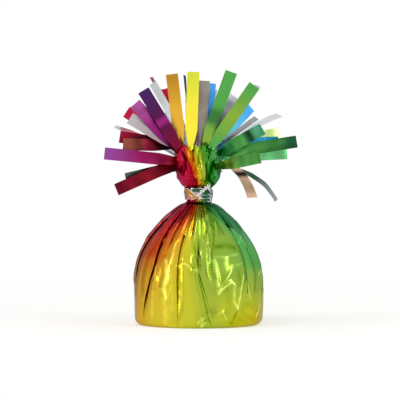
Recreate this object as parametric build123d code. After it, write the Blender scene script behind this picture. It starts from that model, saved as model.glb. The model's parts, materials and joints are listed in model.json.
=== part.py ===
"""A foil balloon weight: a tub of sand in a gathered film wrap, tied at the neck, with a cut fringe.

Millimetres, +Z up. The origin is the middle of the flat underside, and the show side looks along -Y.
"""

from build123d import *
import os
from math import cos, hypot, pi, radians, sin, sqrt

# Wrapped body
BODY_RADIUS = 35.0
BASE_EDGE = 4.0
SHOULDER_Z = 25.0
DOME_TOP_Z = 66.4
DOME_TOP_RADIUS = 9.6
DOME_FULLNESS = 0.88
DOME_RISES = (0.3, 0.5, 0.68, 0.82, 0.92)
FILM = 0.4

# Pleats of the gathered film, one knife fold after another round the body
PLEATS = 18
PLEAT_RETURN = 0.24
BASE_PLEAT = 0.3
WALL_PLEAT = 1.4
DOME_PLEAT = 2.2
NECK_PLEAT = 1.2
FLARE_PLEAT = 4.6

# Gathered neck above the body
NECK_RADIUS = 5.7
NECK_GRIP = 9.0
GATHER_RISE = 0.8
FLARE_RADIUS = 11.2
FLARE_RISE = 2.6
RIM_RADIUS = 13.6
FLARE_HEIGHT = 16.2

# Moulded tub with a domed snap lid, and the sand in it
TUB_RISE = 9.4
TUB_WALL = 1.0
TUB_FLOOR = 1.2
TUB_EDGE = 2.5
TUB_SLACK = 2.2
LID_RISE = 18.6
LID_CROWN = 12.0
LID_WALL = 1.0
LID_BULGE = 3.5
SKIRT_DEPTH = 2.6
SKIRT_CLEARANCE = 0.15
SNAP_BEAD = 0.45
SNAP_CLEARANCE = 0.1
SAND_HEADROOM = 0.8
SAND_HEAP = 2.5
SAND_CLEARANCE = 0.2

# Wire tie wound round the neck
TIE_DIAMETER = 2.2
TIE_TURNS = 2
TIE_GAP = 0.6
TIE_CLEARANCE = 0.3
TIE_START = -60.0
LEAST_GAP = 0.4

# The tie's two ends, twisted together and bent up beside the neck
STRAND_DIAMETER = 1.0
STRAND_GAP = 0.25
TAIL_LENGTH = 10.0
TAIL_PITCH = 4.0
TAIL_AZIMUTH = -42.0
TAIL_ELEVATION = 32.0
TAIL_ROOT_X = -1.0
TAIL_CLEARANCE = 0.4

# Fringe strips cut in the free end of the film
STRIP_LENGTH = 50.0
STRIP_WIDTH = 6.6
STRIP_FILM = 0.3
ROOT_GAP = 0.3
SEAT_REACH = 6.0
SEAT_TOLERANCE = 0.3

# Angles run from +X towards +Y. FRONT and REVERSE strips turn their printed or bare side to the show side,
# EDGE strips turn it to the left, and PETAL strips lie across their own direction, as petals do.
FRONT = -90.0
REVERSE = 90.0
EDGE = 180.0
PETAL = None

# Strips that stand on the rim: name, root x and y in hundredths of the rim's radius,
# azimuth, elevation, facing, droop, and length in hundredths of STRIP_LENGTH
RIM_STRIPS = [
    ("fringe_front_01", -32, -85, -80, 78, FRONT, 8, 90),
    ("fringe_front_02", -70, -56, -110, 71, FRONT, 10, 90),
    ("fringe_front_03", 18, -63, -36, 66, FRONT, 8, 94),
    ("fringe_front_04", 48, -79, -43, 47, FRONT, 12, 96),
    ("fringe_front_05", -78, -81, -133, 49, FRONT, 10, 86),
    ("fringe_front_06", 4, -34, 60, 83, REVERSE, 6, 78),
    ("fringe_front_07", -38, -53, 100, 86, EDGE, 5, 84),
    ("fringe_left_01", -93, -40, -138, 40, FRONT, 8, 80),
    ("fringe_left_02", -84, -23, -150, 28, REVERSE, 8, 68),
    ("fringe_left_03", -95, 20, -174, 9, FRONT, 10, 62),
    ("fringe_left_04", -96, 4, -149, 2, FRONT, 8, 66),
    ("fringe_left_06", -82, 40, 150, 29, FRONT, 8, 76),
    ("fringe_left_07", -40, 28, 163, 62, PETAL, 8, 92),
    ("fringe_left_08", -31, -11, 166, 59, REVERSE, 10, 84),
    ("fringe_left_09", -53, 62, 142, 68, FRONT, 10, 72),
    ("fringe_right_01", 15, 15, 53, 75, FRONT, 8, 76),
    ("fringe_right_02", 37, -47, 15, 52, REVERSE, 10, 64),
    ("fringe_right_03", 47, 1, 12, 53, PETAL, 8, 90),
    ("fringe_right_04", 49, 40, 45, 31, FRONT, 8, 78),
    ("fringe_right_05", 62, -16, 8, 38, PETAL, 8, 60),
    ("fringe_right_06", 55, 85, 26, 25, PETAL, 8, 92),
    ("fringe_right_08", 86, 42, 29, 9, FRONT, 8, 78),
    ("fringe_right_09", 97, 27, 24, 2, FRONT, 8, 68),
    ("fringe_back_01", 20, 62, 88, 68, REVERSE, 10, 60),
    ("fringe_back_02", -26, 74, 92, 64, REVERSE, 10, 62),
    ("fringe_back_03", 7, 93, 78, 47, PETAL, 12, 90),
    ("fringe_back_04", -43, 90, 114, 48, PETAL, 12, 90),
]

# Strips that leave the side of the neck: name, root azimuth, drop below the rim in hundredths of
# FLARE_HEIGHT, then as above
SIDE_STRIPS = [
    ("fringe_left_05", 152, 6.2, 176, 24, PETAL, 16, 72),
    ("fringe_left_10", -155, 27.8, -149, 6, FRONT, 8, 90),
    ("fringe_left_11", -170, 43.2, -141, -18, FRONT, 8, 82),
    ("fringe_left_12", 168, 52.5, -143, -10, REVERSE, 8, 66),
    ("fringe_right_07", -38, 0.0, -54, 20, FRONT, 8, 88),
    ("fringe_right_10", -20, 3.1, -26, 9, FRONT, 8, 90),
    ("fringe_right_11", 0, 15.4, 23, 2, FRONT, 8, 76),
    ("fringe_right_12", -40, 46.3, -53, 9, FRONT, 8, 76),
    ("fringe_right_13", -12, 40.0, -57, -34, PETAL, 60, 66),
    ("fringe_right_14", 10, 46.0, 3, -33, PETAL, 55, 74),
    ("fringe_back_05", 85, 3.1, 82, 30, PETAL, 16, 90),
    ("fringe_back_06", 117, 3.1, 112, 28, PETAL, 16, 90),
    ("fringe_back_07", 58, 21.6, 57, 14, PETAL, 12, 88),
    ("fringe_back_08", 96, 24.7, 94, 12, PETAL, 14, 88),
    ("fringe_back_09", 132, 24.7, 132, 16, PETAL, 12, 88),
    ("fringe_back_10", 76, 52.5, 80, -6, PETAL, 20, 84),
    ("fringe_back_11", 112, 52.5, 102, -6, PETAL, 20, 84),
    ("fringe_back_12", 38, 43.2, 38, 6, PETAL, 8, 66),
    ("fringe_back_13", 144, 46.3, 146, 6, PETAL, 8, 84),
]

# Places that follow from the sizes above
GRIP_Z = DOME_TOP_Z + GATHER_RISE
GRIP_TOP_Z = GRIP_Z + NECK_GRIP
FLARE_Z = GRIP_TOP_Z + FLARE_RISE
RIM_Z = FLARE_Z + FLARE_HEIGHT
TUB_RADIUS = BODY_RADIUS - WALL_PLEAT - FILM - TUB_SLACK
TUB_BORE = TUB_RADIUS - TUB_WALL
TUB_RIM_Z = SHOULDER_Z + TUB_RISE
SKIRT_RADIUS = TUB_BORE - SKIRT_CLEARANCE
SKIRT_BORE = SKIRT_RADIUS - LID_WALL
SKIRT_Z = TUB_RIM_Z - SKIRT_DEPTH
SNAP_Z = TUB_RIM_Z - SKIRT_DEPTH / 2
FLANGE_Z = TUB_RIM_Z + LID_WALL
LID_TOP_Z = FLANGE_Z + LID_RISE
TIE_RADIUS = NECK_RADIUS + TIE_CLEARANCE + TIE_DIAMETER / 2
TIE_PITCH = TIE_DIAMETER + TIE_GAP
TIE_MIDDLE_Z = GRIP_Z + NECK_GRIP / 2
STRAND_RADIUS = (STRAND_DIAMETER + STRAND_GAP) / 2
TAIL_RADIUS = STRAND_RADIUS + STRAND_DIAMETER / 2


def direction(azimuth, elevation):
    """The unit vector at an azimuth and an elevation in degrees."""
    level = cos(radians(elevation))
    return Vector(level * cos(radians(azimuth)), level * sin(radians(azimuth)), sin(radians(elevation)))


def pleated_ring(z, crest, depth):
    """The closed outline of the knife-pleated film at one height."""
    pitch = 2 * pi / PLEATS
    valley = crest - depth
    points = []
    for fold in range(PLEATS):
        crest_turn = fold * pitch
        valley_turn = crest_turn + PLEAT_RETURN * pitch
        points.append((crest * cos(crest_turn), crest * sin(crest_turn), z))
        points.append((valley * cos(valley_turn), valley * sin(valley_turn), z))
    return Wire.make_polygon(points, close=True)


def pleated_solid(stations):
    """A ruled skin through pleated outlines, each given as height, crest radius and pleat depth."""
    return Solid.make_loft([pleated_ring(*station) for station in stations], ruled=True)


def dome_radius(z):
    """The crest radius of the wrapped body between its shoulder and the top of its dome."""
    rise = (z - SHOULDER_Z) / (DOME_TOP_Z - SHOULDER_Z)
    return DOME_TOP_RADIUS + (BODY_RADIUS - DOME_TOP_RADIUS) * (1 - rise**2) ** DOME_FULLNESS


def neck_radius(z):
    """The crest radius of the neck between its flare and its rim."""
    return FLARE_RADIUS + (RIM_RADIUS - FLARE_RADIUS) * (z - FLARE_Z) / FLARE_HEIGHT


def body_stations(inset):
    """The body's pleated outlines from the underside to the top of the dome, inset by a film thickness."""
    edge_slope = BASE_EDGE * (1 - sqrt(0.5))
    stations = [
        (inset, BODY_RADIUS - BASE_EDGE - inset, BASE_PLEAT),
        (edge_slope, BODY_RADIUS - edge_slope - inset, BASE_PLEAT),
        (BASE_EDGE, BODY_RADIUS - inset, (BASE_PLEAT + WALL_PLEAT) / 2),
        (SHOULDER_Z, BODY_RADIUS - inset, WALL_PLEAT),
    ]
    for rise in DOME_RISES:
        z = SHOULDER_Z + rise * (DOME_TOP_Z - SHOULDER_Z)
        stations.append((z, dome_radius(z) - inset, WALL_PLEAT + rise * (DOME_PLEAT - WALL_PLEAT)))
    stations.append((DOME_TOP_Z, DOME_TOP_RADIUS - inset, NECK_PLEAT))
    return stations


def make_film_wrap():
    """The film drawn up round the tub, closed underneath and open at the neck."""
    return pleated_solid(body_stations(0.0)) - pleated_solid(body_stations(FILM))


def make_film_neck():
    """The bunched film through the tie, flaring to the rim where the fringe is cut."""
    return pleated_solid(
        [
            (DOME_TOP_Z, DOME_TOP_RADIUS, NECK_PLEAT),
            (GRIP_Z, NECK_RADIUS, NECK_PLEAT),
            (GRIP_TOP_Z, NECK_RADIUS, NECK_PLEAT),
            (FLARE_Z, FLARE_RADIUS, (NECK_PLEAT + FLARE_PLEAT) / 2),
            (RIM_Z, RIM_RADIUS, FLARE_PLEAT),
        ]
    )


def turned(edges):
    """The solid of revolution about Z of a closed half profile drawn in X and Z."""
    return revolve(Plane.XZ * make_face(edges), axis=Axis.Z)


def make_tub():
    """The moulded tub: a rounded foot, a straight wall and a groove for the lid's snap bead."""
    groove = SNAP_BEAD + SNAP_CLEARANCE
    body = turned(
        [
            Polyline(
                (0, FILM),
                (TUB_RADIUS, FILM),
                (TUB_RADIUS, TUB_RIM_Z),
                (TUB_BORE, TUB_RIM_Z),
                (TUB_BORE, SNAP_Z + groove),
            ),
            ThreePointArc(
                (TUB_BORE, SNAP_Z + groove),
                (TUB_BORE + SNAP_BEAD, SNAP_Z),
                (TUB_BORE, SNAP_Z - groove),
            ),
            Polyline(
                (TUB_BORE, SNAP_Z - groove),
                (TUB_BORE, FILM + TUB_FLOOR),
                (0, FILM + TUB_FLOOR),
                (0, FILM),
            ),
        ]
    )
    foot = body.edges().filter_by(GeomType.CIRCLE).group_by(Axis.Z)[0]
    return fillet(foot, TUB_EDGE)


def make_lid():
    """The domed lid: a flange on the tub's rim, a skirt with a snap bead inside it, and a flat crown."""
    crown_z = LID_TOP_Z - LID_WALL
    run = TUB_RADIUS - LID_CROWN
    slope = hypot(run, LID_RISE)
    lift = (LID_RISE / slope * LID_BULGE, run / slope * LID_BULGE)
    outer_middle = ((TUB_RADIUS + LID_CROWN) / 2 + lift[0], (FLANGE_Z + LID_TOP_Z) / 2 + lift[1])
    inner_middle = ((SKIRT_BORE + LID_CROWN) / 2 + lift[0], (TUB_RIM_Z + crown_z) / 2 + lift[1])
    return turned(
        [
            Polyline(
                (SKIRT_RADIUS, SNAP_Z + SNAP_BEAD),
                (SKIRT_RADIUS, TUB_RIM_Z),
                (TUB_RADIUS, TUB_RIM_Z),
                (TUB_RADIUS, FLANGE_Z),
            ),
            ThreePointArc((TUB_RADIUS, FLANGE_Z), outer_middle, (LID_CROWN, LID_TOP_Z)),
            Polyline((LID_CROWN, LID_TOP_Z), (0, LID_TOP_Z), (0, crown_z), (LID_CROWN, crown_z)),
            ThreePointArc((LID_CROWN, crown_z), inner_middle, (SKIRT_BORE, TUB_RIM_Z)),
            Polyline(
                (SKIRT_BORE, TUB_RIM_Z),
                (SKIRT_BORE, SKIRT_Z),
                (SKIRT_RADIUS, SKIRT_Z),
                (SKIRT_RADIUS, SNAP_Z - SNAP_BEAD),
            ),
            ThreePointArc(
                (SKIRT_RADIUS, SNAP_Z - SNAP_BEAD),
                (SKIRT_RADIUS + SNAP_BEAD, SNAP_Z),
                (SKIRT_RADIUS, SNAP_Z + SNAP_BEAD),
            ),
        ]
    )


def make_sand():
    """The loose sand in the tub, level at the wall and heaped a little in the middle."""
    floor_z = FILM + TUB_FLOOR
    level_z = SKIRT_Z - SAND_HEADROOM
    radius = TUB_BORE - SAND_CLEARANCE
    heap = (0, level_z + SAND_HEAP)
    return turned(Polyline((0, floor_z), (radius, floor_z), (radius, level_z), heap, close=True))


def biarc(start, start_way, end, end_way):
    """Two arcs that join two points smoothly, leaving and arriving along the given unit vectors."""
    chord = end - start
    ways = start_way + end_way
    bend = 2 * (1 - start_way.dot(end_way))
    reach = (sqrt(chord.dot(ways) ** 2 + bend * chord.dot(chord)) - chord.dot(ways)) / bend
    middle = (start + start_way * reach + end - end_way * reach) * 0.5
    first = Edge.make_tangent_arc(start, start_way, middle)
    return [first, Edge.make_tangent_arc(middle, first % 1, end)]


def helix_point(radius, pitch, turn):
    """A point on a helix about Z and the unit vector along it, at a number of turns from +X."""
    angle = 2 * pi * turn
    point = Vector(radius * cos(angle), radius * sin(angle), pitch * turn)
    return point, Vector(-2 * pi * radius * sin(angle), 2 * pi * radius * cos(angle), pitch).normalized()


def wound_tube(radius, pitch, turns, diameter):
    """A round tube wound about Z in quarter turns, with straight ends one diameter long."""
    steps = round(turns * 4)
    stops = [helix_point(radius, pitch, turns * step / steps) for step in range(steps + 1)]
    first, first_way = stops[0]
    last, last_way = stops[-1]
    lead = first - first_way * diameter
    edges = [Edge.make_line(lead, first)]
    for (start, start_way), (end, end_way) in zip(stops, stops[1:]):
        edges += biarc(start, start_way, end, end_way)
    edges.append(Edge.make_line(last, last + last_way * diameter))
    path = Wire(edges)
    section = Plane(origin=lead, z_dir=first_way) * Circle(diameter / 2)
    return sweep(section, path=path), path


def least_gap(path, diameter, apart):
    """The least distance between the surfaces of turns of a tube that are a stretch of it apart."""
    count = int(path.length / (diameter / 4))
    points = [path @ (step / count) for step in range(count + 1)]
    reach = int(apart / path.length * count)
    return min(
        (points[near] - points[far]).length - diameter
        for near in range(count + 1)
        for far in range(near + reach, count + 1)
    )


def make_tie_wrap():
    """The tie's turns round the neck, as one unbroken winding."""
    winding, path = wound_tube(TIE_RADIUS, TIE_PITCH, TIE_TURNS, TIE_DIAMETER)
    gap = least_gap(path, TIE_DIAMETER, pi * TIE_RADIUS)
    print(f"tie winding: {path.length:.1f} mm long, least gap {gap:.2f} mm, wanted over {LEAST_GAP} mm")
    return Pos(0, 0, TIE_MIDDLE_Z - TIE_PITCH * TIE_TURNS / 2) * Rot(0, 0, TIE_START) * winding


def tail_place():
    """The place of the twisted ends: their root in front of the winding, and Z along them."""
    front = TIE_RADIUS + TIE_DIAMETER / 2 + TAIL_CLEARANCE + TAIL_RADIUS
    return Plane(
        origin=(TAIL_ROOT_X, -front, TIE_MIDDLE_Z),
        x_dir=direction(TAIL_AZIMUTH + 90, 0),
        z_dir=direction(TAIL_AZIMUTH, TAIL_ELEVATION),
    )


def make_tie_tail():
    """The tie's two ends, twisted round each other."""
    turns = round(TAIL_LENGTH / TAIL_PITCH * 4) / 4
    strand, _ = wound_tube(STRAND_RADIUS, TAIL_PITCH, turns, STRAND_DIAMETER)
    pair = [Rot(0, 0, turn) * strand for turn in (0, 180)]
    return Compound(children=[tail_place().location * one for one in pair])


def strip_axes(azimuth, elevation, facing):
    """The unit vectors along a strip and across it."""
    along = direction(azimuth, elevation)
    if facing is PETAL:
        return along, direction(azimuth + 90, 0)
    return along, along.cross(direction(facing, 0)).normalized()


def strip_corner_reach(along, across, way):
    """How far a strip's root corners reach from its root point, measured along a unit vector."""
    normal = across.cross(along)
    return STRIP_WIDTH / 2 * abs(across.dot(way)) + STRIP_FILM / 2 * abs(normal.dot(way))


def rim_root(x, y, along, across):
    """The root point of a strip that stands just clear of the rim."""
    z = RIM_Z + ROOT_GAP + strip_corner_reach(along, across, Vector(0, 0, 1))
    return Vector(x / 100 * RIM_RADIUS, y / 100 * RIM_RADIUS, z)


def side_root(azimuth, drop, along, across):
    """The root point of a strip that stands just clear of the side of the neck."""
    z = RIM_Z - drop / 100 * FLARE_HEIGHT
    outward = direction(azimuth, 0)
    top_z = min(z + strip_corner_reach(along, across, Vector(0, 0, 1)), RIM_Z)
    radius = neck_radius(top_z) + ROOT_GAP + strip_corner_reach(along, across, outward)
    return Vector(outward.X * radius, outward.Y * radius, z)


def seat_shift(neck, root, along, across):
    """How far back along its strip a root edge moves until it lies just clear of the neck."""
    half = across * (STRIP_WIDTH / 2)
    shift = 0.0
    while shift < SEAT_REACH:
        place = root - along * shift
        gap = Edge.make_line(place - half, place + half).distance_to(neck) - ROOT_GAP - STRIP_FILM / 2
        if gap < SEAT_TOLERANCE:
            break
        shift += gap
    return shift


def strip_places(neck):
    """Every strip's name, root point, vectors along and across it, droop in degrees and length."""
    starts = []
    for name, x, y, azimuth, elevation, facing, droop, length in RIM_STRIPS:
        along, across = strip_axes(azimuth, elevation, facing)
        starts.append((name, rim_root(x, y, along, across), along, across, droop, length))
    for name, turn, drop, azimuth, elevation, facing, droop, length in SIDE_STRIPS:
        along, across = strip_axes(azimuth, elevation, facing)
        starts.append((name, side_root(turn, drop, along, across), along, across, droop, length))
    places = []
    for name, root, along, across, droop, length in starts:
        shift = seat_shift(neck, root, along, across)
        reach = length / 100 * STRIP_LENGTH + shift
        places.append((name, root - along * shift, along, across, droop, reach))
    return places


def make_strip(root, along, across, droop, length):
    """One strip of film, bent in an arc about its own width so that its tip droops."""
    half = radians(droop) / 2
    radius = length / (2 * half)
    middle = Vector(radius * sin(half), radius * cos(half))

    def on_arc(size, share):
        return middle + Vector(sin(half * share), -cos(half * share)) * size

    outer = radius + STRIP_FILM / 2
    inner = radius - STRIP_FILM / 2
    outline = [
        ThreePointArc(on_arc(outer, -1), on_arc(outer, 0), on_arc(outer, 1)),
        Line(on_arc(outer, 1), on_arc(inner, 1)),
        ThreePointArc(on_arc(inner, 1), on_arc(inner, 0), on_arc(inner, -1)),
        Line(on_arc(inner, -1), on_arc(outer, -1)),
    ]
    side = Plane(origin=root, x_dir=along, z_dir=across)
    return extrude(side * make_face(outline), amount=STRIP_WIDTH / 2, both=True)


def make_nodes():
    """Every piece by its node name."""
    neck = make_film_neck()
    nodes = {
        "weight_tub": make_tub(),
        "tub_lid": make_lid(),
        "sand_fill": make_sand(),
        "film_wrap": make_film_wrap(),
        "film_neck": neck,
        "tie_wrap": make_tie_wrap(),
        "tie_tail": make_tie_tail(),
    }
    for name, root, along, across, droop, length in strip_places(neck):
        nodes[name] = make_strip(root, along, across, droop, length)
    return nodes


os.makedirs("parts", exist_ok=True)
for node_name, node_shape in make_nodes().items():
    export_step(node_shape, f"parts/{node_name}.step")
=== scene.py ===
"""Looks of a foil balloon weight: rainbow film gathered over a tub, tied at the neck, with a cut fringe.

Lengths are millimetres, and in the studio metres. Azimuths are degrees from the show side to the right.
Painted shading runs from -1, the deepest painted shade, to 1, the brightest painted highlight.
"""

import json
import logging
import math
from dataclasses import dataclass, field
from enum import Enum

import bpy
import numpy as np
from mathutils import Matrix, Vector
from mathutils.geometry import delaunay_2d_cdt


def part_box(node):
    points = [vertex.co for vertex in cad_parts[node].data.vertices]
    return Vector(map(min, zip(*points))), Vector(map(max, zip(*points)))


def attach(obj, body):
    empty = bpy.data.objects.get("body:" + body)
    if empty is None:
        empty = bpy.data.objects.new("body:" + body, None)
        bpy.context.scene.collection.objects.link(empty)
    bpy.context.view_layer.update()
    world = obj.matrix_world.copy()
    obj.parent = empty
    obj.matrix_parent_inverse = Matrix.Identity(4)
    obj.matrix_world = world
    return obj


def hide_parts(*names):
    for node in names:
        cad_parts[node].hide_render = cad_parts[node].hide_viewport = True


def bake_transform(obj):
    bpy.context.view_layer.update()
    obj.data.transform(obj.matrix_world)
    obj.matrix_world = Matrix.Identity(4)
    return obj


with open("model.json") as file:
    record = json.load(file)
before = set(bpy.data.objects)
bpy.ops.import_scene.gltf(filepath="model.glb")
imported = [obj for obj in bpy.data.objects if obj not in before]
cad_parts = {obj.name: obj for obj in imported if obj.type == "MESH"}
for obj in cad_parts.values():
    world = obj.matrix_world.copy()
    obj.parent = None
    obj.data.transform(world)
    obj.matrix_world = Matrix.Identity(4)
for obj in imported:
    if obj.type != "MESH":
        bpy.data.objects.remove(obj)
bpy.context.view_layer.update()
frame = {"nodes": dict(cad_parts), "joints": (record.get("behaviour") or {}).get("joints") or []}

LOG = logging.getLogger("balloon_weight")
MM = 0.001
TURN = 2 * math.pi
SHEET_UV = "sheet"
SHEET_SPAN = 170.0
PAINTED_SHADING = "tone"
PRINT_AND_SHEEN = "print"
BARE = "bare"
# Painted shade and painted highlights: the base of the power that deepens the print into painted shade and
# lightens it into painted highlights, and the share and gain of the painted highlights.
SHADING_GAMMA = 3.4
GLINT_TONE = 0.42
GLINT_GAIN = 1.6
NOISE_RANGE = (0.3, 0.7)
WELD = 2e-6
FACET_EDGE = 1e-9
SHARP_EDGE = 40.0
CREASE_HEIGHT = 0.6
CREASE_FOOT = 2.2
CREASE_CORE = 0.75
CREASE_SKIRT = 2.0
CORE_SHARE = 0.8
SKIRT_SHARE = 0.2
UNEVEN = 0.2
METAL = {"Metallic": 1.0, "Specular Tint": (0.6, 0.6, 0.6, 1.0)}

Array = np.ndarray
Piece = bpy.types.Object
Material = bpy.types.Material
Node = bpy.types.Node
Socket = bpy.types.NodeSocket
Rgba = tuple[float, float, float, float]
Span = tuple[float, float]
Pairs = tuple[Span, ...]
Stops = tuple[tuple[float, "Tint"], ...]
Shaded = Material | bpy.types.World
Inputs = dict[str | int, object]


class Tint(Enum):
    """A named colour, written as red, green and blue in hexadecimal."""

    WHITE = 0xFFFFFF
    FLOOR = 0xF4F4F2
    CARD = 0xC4C4C4
    SILVER = 0xD4D4D2
    STEEL = 0xA8ACB0
    PALE = 0xCCD0D2
    MAUVE = 0xA88C94
    ASH = 0xC0B8BC
    FROST = 0xDCE0E0
    TAUPE = 0x9E9488
    SLATE = 0x46524C
    INK = 0x1E1A18
    PURPLE = 0x4A2A62
    VIOLET = 0x6E4CA0
    PLUM = 0x5E1C4E
    ORCHID = 0xB85AA8
    MAGENTA = 0xA02A80
    WINE = 0x7E1830
    CRIMSON = 0xB82044
    ROSE = 0xCC6676
    RED = 0xB82A2E
    VERMILION = 0xC0481E
    ORANGE = 0xCC761E
    COPPER = 0x9C5648
    MAROON = 0x8C1A28
    BERRY = 0x9B1F63
    LILAC = 0x9A4C9E
    TAN = 0xD8AE92
    GOLD = 0xD29E2A
    HONEY = 0xE8B23C
    AMBER = 0xC08A2C
    YELLOW = 0xFFEE46
    LEMON = 0xDCE040
    PALE_LIME = 0xC2D68C
    CITRON = 0xD4BE30
    CHARTREUSE = 0xC8C432
    LIME = 0xB2BE36
    OLIVE = 0x9CB43C
    LEAF = 0x8CB040
    GRASS = 0x58A850
    JADE = 0x5CA668
    GREEN = 0x348E54
    FERN = 0x3E7A3E
    PINE = 0x24583A
    SEA = 0x58B690
    AQUA = 0x62C0DC
    SKY = 0x52AAF0
    BLUE = 0x2A78C4
    TEAL = 0x1E7AA0
    MILK = 0xEDECE8
    SAND = 0xCDB78C
    SAND_DARK = 0x8C7450

    @property
    def linear(self) -> Rgba:
        """Turns the tint into linear light.

        Returns:
            Red, green, blue and alpha.
        """
        shares = [(self.value >> shift & 255) / 255 for shift in (16, 8, 0)]
        red, green, blue = [
            share / 12.92 if share <= 0.04045 else ((share + 0.055) / 1.055) ** 2.4 for share in shares
        ]
        return red, green, blue, 1.0


class Layer(Enum):
    """The three layers of film at a knife pleat."""

    PANEL = 0
    RETURN = 1
    UNDER = 2


def smooth(values: Array, low: float, high: float) -> Array:
    """A smooth step at each value, 0 below the low one and 1 above the high one."""
    share = np.clip((values - low) / (high - low), 0, 1)
    return share * share * (3 - 2 * share)


def tint_run(share: Array, stops: Stops) -> Array:
    """Colours between named stops.

    Args:
        share: Where to take them.
        stops: Places and tints, in order.

    Returns:
        A linear colour for each place.
    """
    places = [place for place, _ in stops]
    channels = zip(*(tint.linear for _, tint in stops))
    return np.stack([np.interp(share, places, channel) for channel in channels], axis=-1)


def sheet_share(place: Array | float) -> Array | float:
    """A place across the rainbow in millimetres, as a share of the sheet's span."""
    return (place + SHEET_SPAN) / (2 * SHEET_SPAN)


def show_azimuth(across: float, reach: float) -> float:
    """The azimuth in radians of a place on the show side, from its distance across and its radius."""
    return math.asin(max(-0.99, min(0.99, across / reach)))


def turned(reach: Array, azimuth: Array, up: Array) -> Array:
    """Points round the object's axis by row and column, from their radii, radians and heights."""
    return np.stack(np.broadcast_arrays(reach * np.sin(azimuth), -reach * np.cos(azimuth), up), axis=2)


def path_length(across: Array, up: Array) -> Array:
    """The way along an outline at each of its points."""
    return np.concatenate([[0], np.cumsum(np.hypot(np.diff(across), np.diff(up)))])


def hinge(body: str) -> tuple[Array, Array]:
    """The place in millimetres and the axis of a body's hinge in the frame."""
    joint = next(one for one in frame["joints"] if one["child"] == body)
    return np.array(joint["pos_m"]) / MM, np.array(joint["axis"], float)


def select_only(*pieces: Piece) -> None:
    """Selects these pieces and nothing else.

    Args:
        pieces: The pieces, of which the first becomes the active one.
    """
    bpy.ops.object.select_all(action="DESELECT")
    for piece in pieces:
        piece.select_set(True)
    if pieces:
        bpy.context.view_layer.objects.active = pieces[0]


def new_material(name: str) -> tuple[Material, Node]:
    """Makes a node material.

    Args:
        name: The finish's name.

    Returns:
        The material and its surface shader.
    """
    material = bpy.data.materials.new(name)
    material.use_nodes = True
    return material, material.node_tree.nodes["Principled BSDF"]


def fill(owner: Shaded, node: Node, inputs: Inputs) -> None:
    """Sets and links a node's inputs.

    Args:
        owner: The material or world that has the node.
        node: The node.
        inputs: A value or an output socket for each input, by its name or number.
    """
    for name, value in inputs.items():
        if isinstance(value, Socket):
            owner.node_tree.links.new(value, node.inputs[name])
        else:
            node.inputs[name].default_value = value


def add_node(owner: Shaded, kind: str, inputs: Inputs, **settings: str) -> Node:
    """Adds a shader node.

    Args:
        owner: The material or world that gets it.
        kind: The node's kind.
        inputs: A value or an output socket for each input, by its name or number.
        settings: The node's own settings, such as its operation.

    Returns:
        The node.
    """
    node = owner.node_tree.nodes.new(f"ShaderNode{kind}")
    for name, value in settings.items():
        setattr(node, name, value)
    fill(owner, node, inputs)
    return node


def add_range(owner: Shaded, value: Socket, old: Span, new: Span, **settings: str) -> Socket:
    """Maps a value from an old range to a new one and holds it there; settings are the node's own."""
    inputs = {"Value": value, "From Min": old[0], "From Max": old[1], "To Min": new[0], "To Max": new[1]}
    return add_node(owner, "MapRange", inputs, **settings).outputs["Result"]


def add_noise(material: Material, scale: float, detail: float) -> Socket:
    """Adds a noise texture on object coordinates.

    Args:
        material: The material that gets it.
        scale: Grains to the metre.
        detail: How many finer layers it has.

    Returns:
        The noise.
    """
    place = add_node(material, "TexCoord", {}).outputs["Object"]
    inputs = {"Vector": place, "Scale": scale, "Detail": detail}
    return add_node(material, "TexNoise", inputs).outputs["Fac"]


def add_ramp(
    material: Material, value: Socket, stops: list[tuple[float, Rgba]], interpolation: str = "LINEAR"
) -> Socket:
    """Colours a value by a ramp.

    Args:
        material: The material.
        value: The value, from 0 to 1.
        stops: Places on the ramp and their colours, in order.
        interpolation: How the colours run between the stops.

    Returns:
        The colour.
    """
    node = add_node(material, "ValToRGB", {"Fac": value})
    node.color_ramp.interpolation = interpolation
    elements = node.color_ramp.elements
    elements.remove(elements[-1])
    elements[0].position, elements[0].color = stops[0]
    for place, colour in stops[1:]:
        elements.new(place).color = colour
    return node.outputs["Color"]


def add_painted_shading(material: Material, colour: Socket) -> Socket:
    """Paints shade into a colour in the folds and dents, and paints highlights where the film is bent
    sharply outwards.

    Args:
        material: The material.
        colour: The film's printed colour.

    Returns:
        The colour with its painted shade and painted highlights.
    """
    tone = add_node(material, "Attribute", {}, attribute_name=PAINTED_SHADING).outputs["Fac"]
    # Painted shade deepens the print by a gamma above 1; painted highlights lighten it by a gamma below 1
    # and a gain.
    shading_exponent = add_range(material, tone, (0.0, 1.0), (1.0, -1.0))
    power = add_node(material, "Math", {0: SHADING_GAMMA, 1: shading_exponent}, operation="POWER").outputs["Value"]
    deep = add_node(material, "Gamma", {"Color": colour, "Gamma": power}).outputs["Color"]
    glint = add_range(material, tone, (0.5, 0.5 + GLINT_TONE / 2), (1.0, GLINT_GAIN))
    return add_node(material, "HueSaturation", {"Color": deep, "Value": glint}).outputs["Color"]


@dataclass(frozen=True)
class Surface:
    """A surface's gloss, as its least and greatest roughness, and its bump's height and strength."""

    gloss: Span
    depth: float
    strength: float

    def apply(self, material: Material, shader: Node, shine: Socket, grain: Socket) -> None:
        """Varies a material's gloss and bumps it.

        Args:
            material: The material.
            shader: Its surface shader.
            shine: The noise that varies the gloss.
            grain: The noise that bumps it.
        """
        bump = {"Height": grain, "Distance": self.depth * MM, "Strength": self.strength}
        normal = add_node(material, "Bump", bump).outputs["Normal"]
        roughness = add_range(material, shine, NOISE_RANGE, self.gloss)
        fill(material, shader, {"Roughness": roughness, "Normal": normal})


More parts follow.
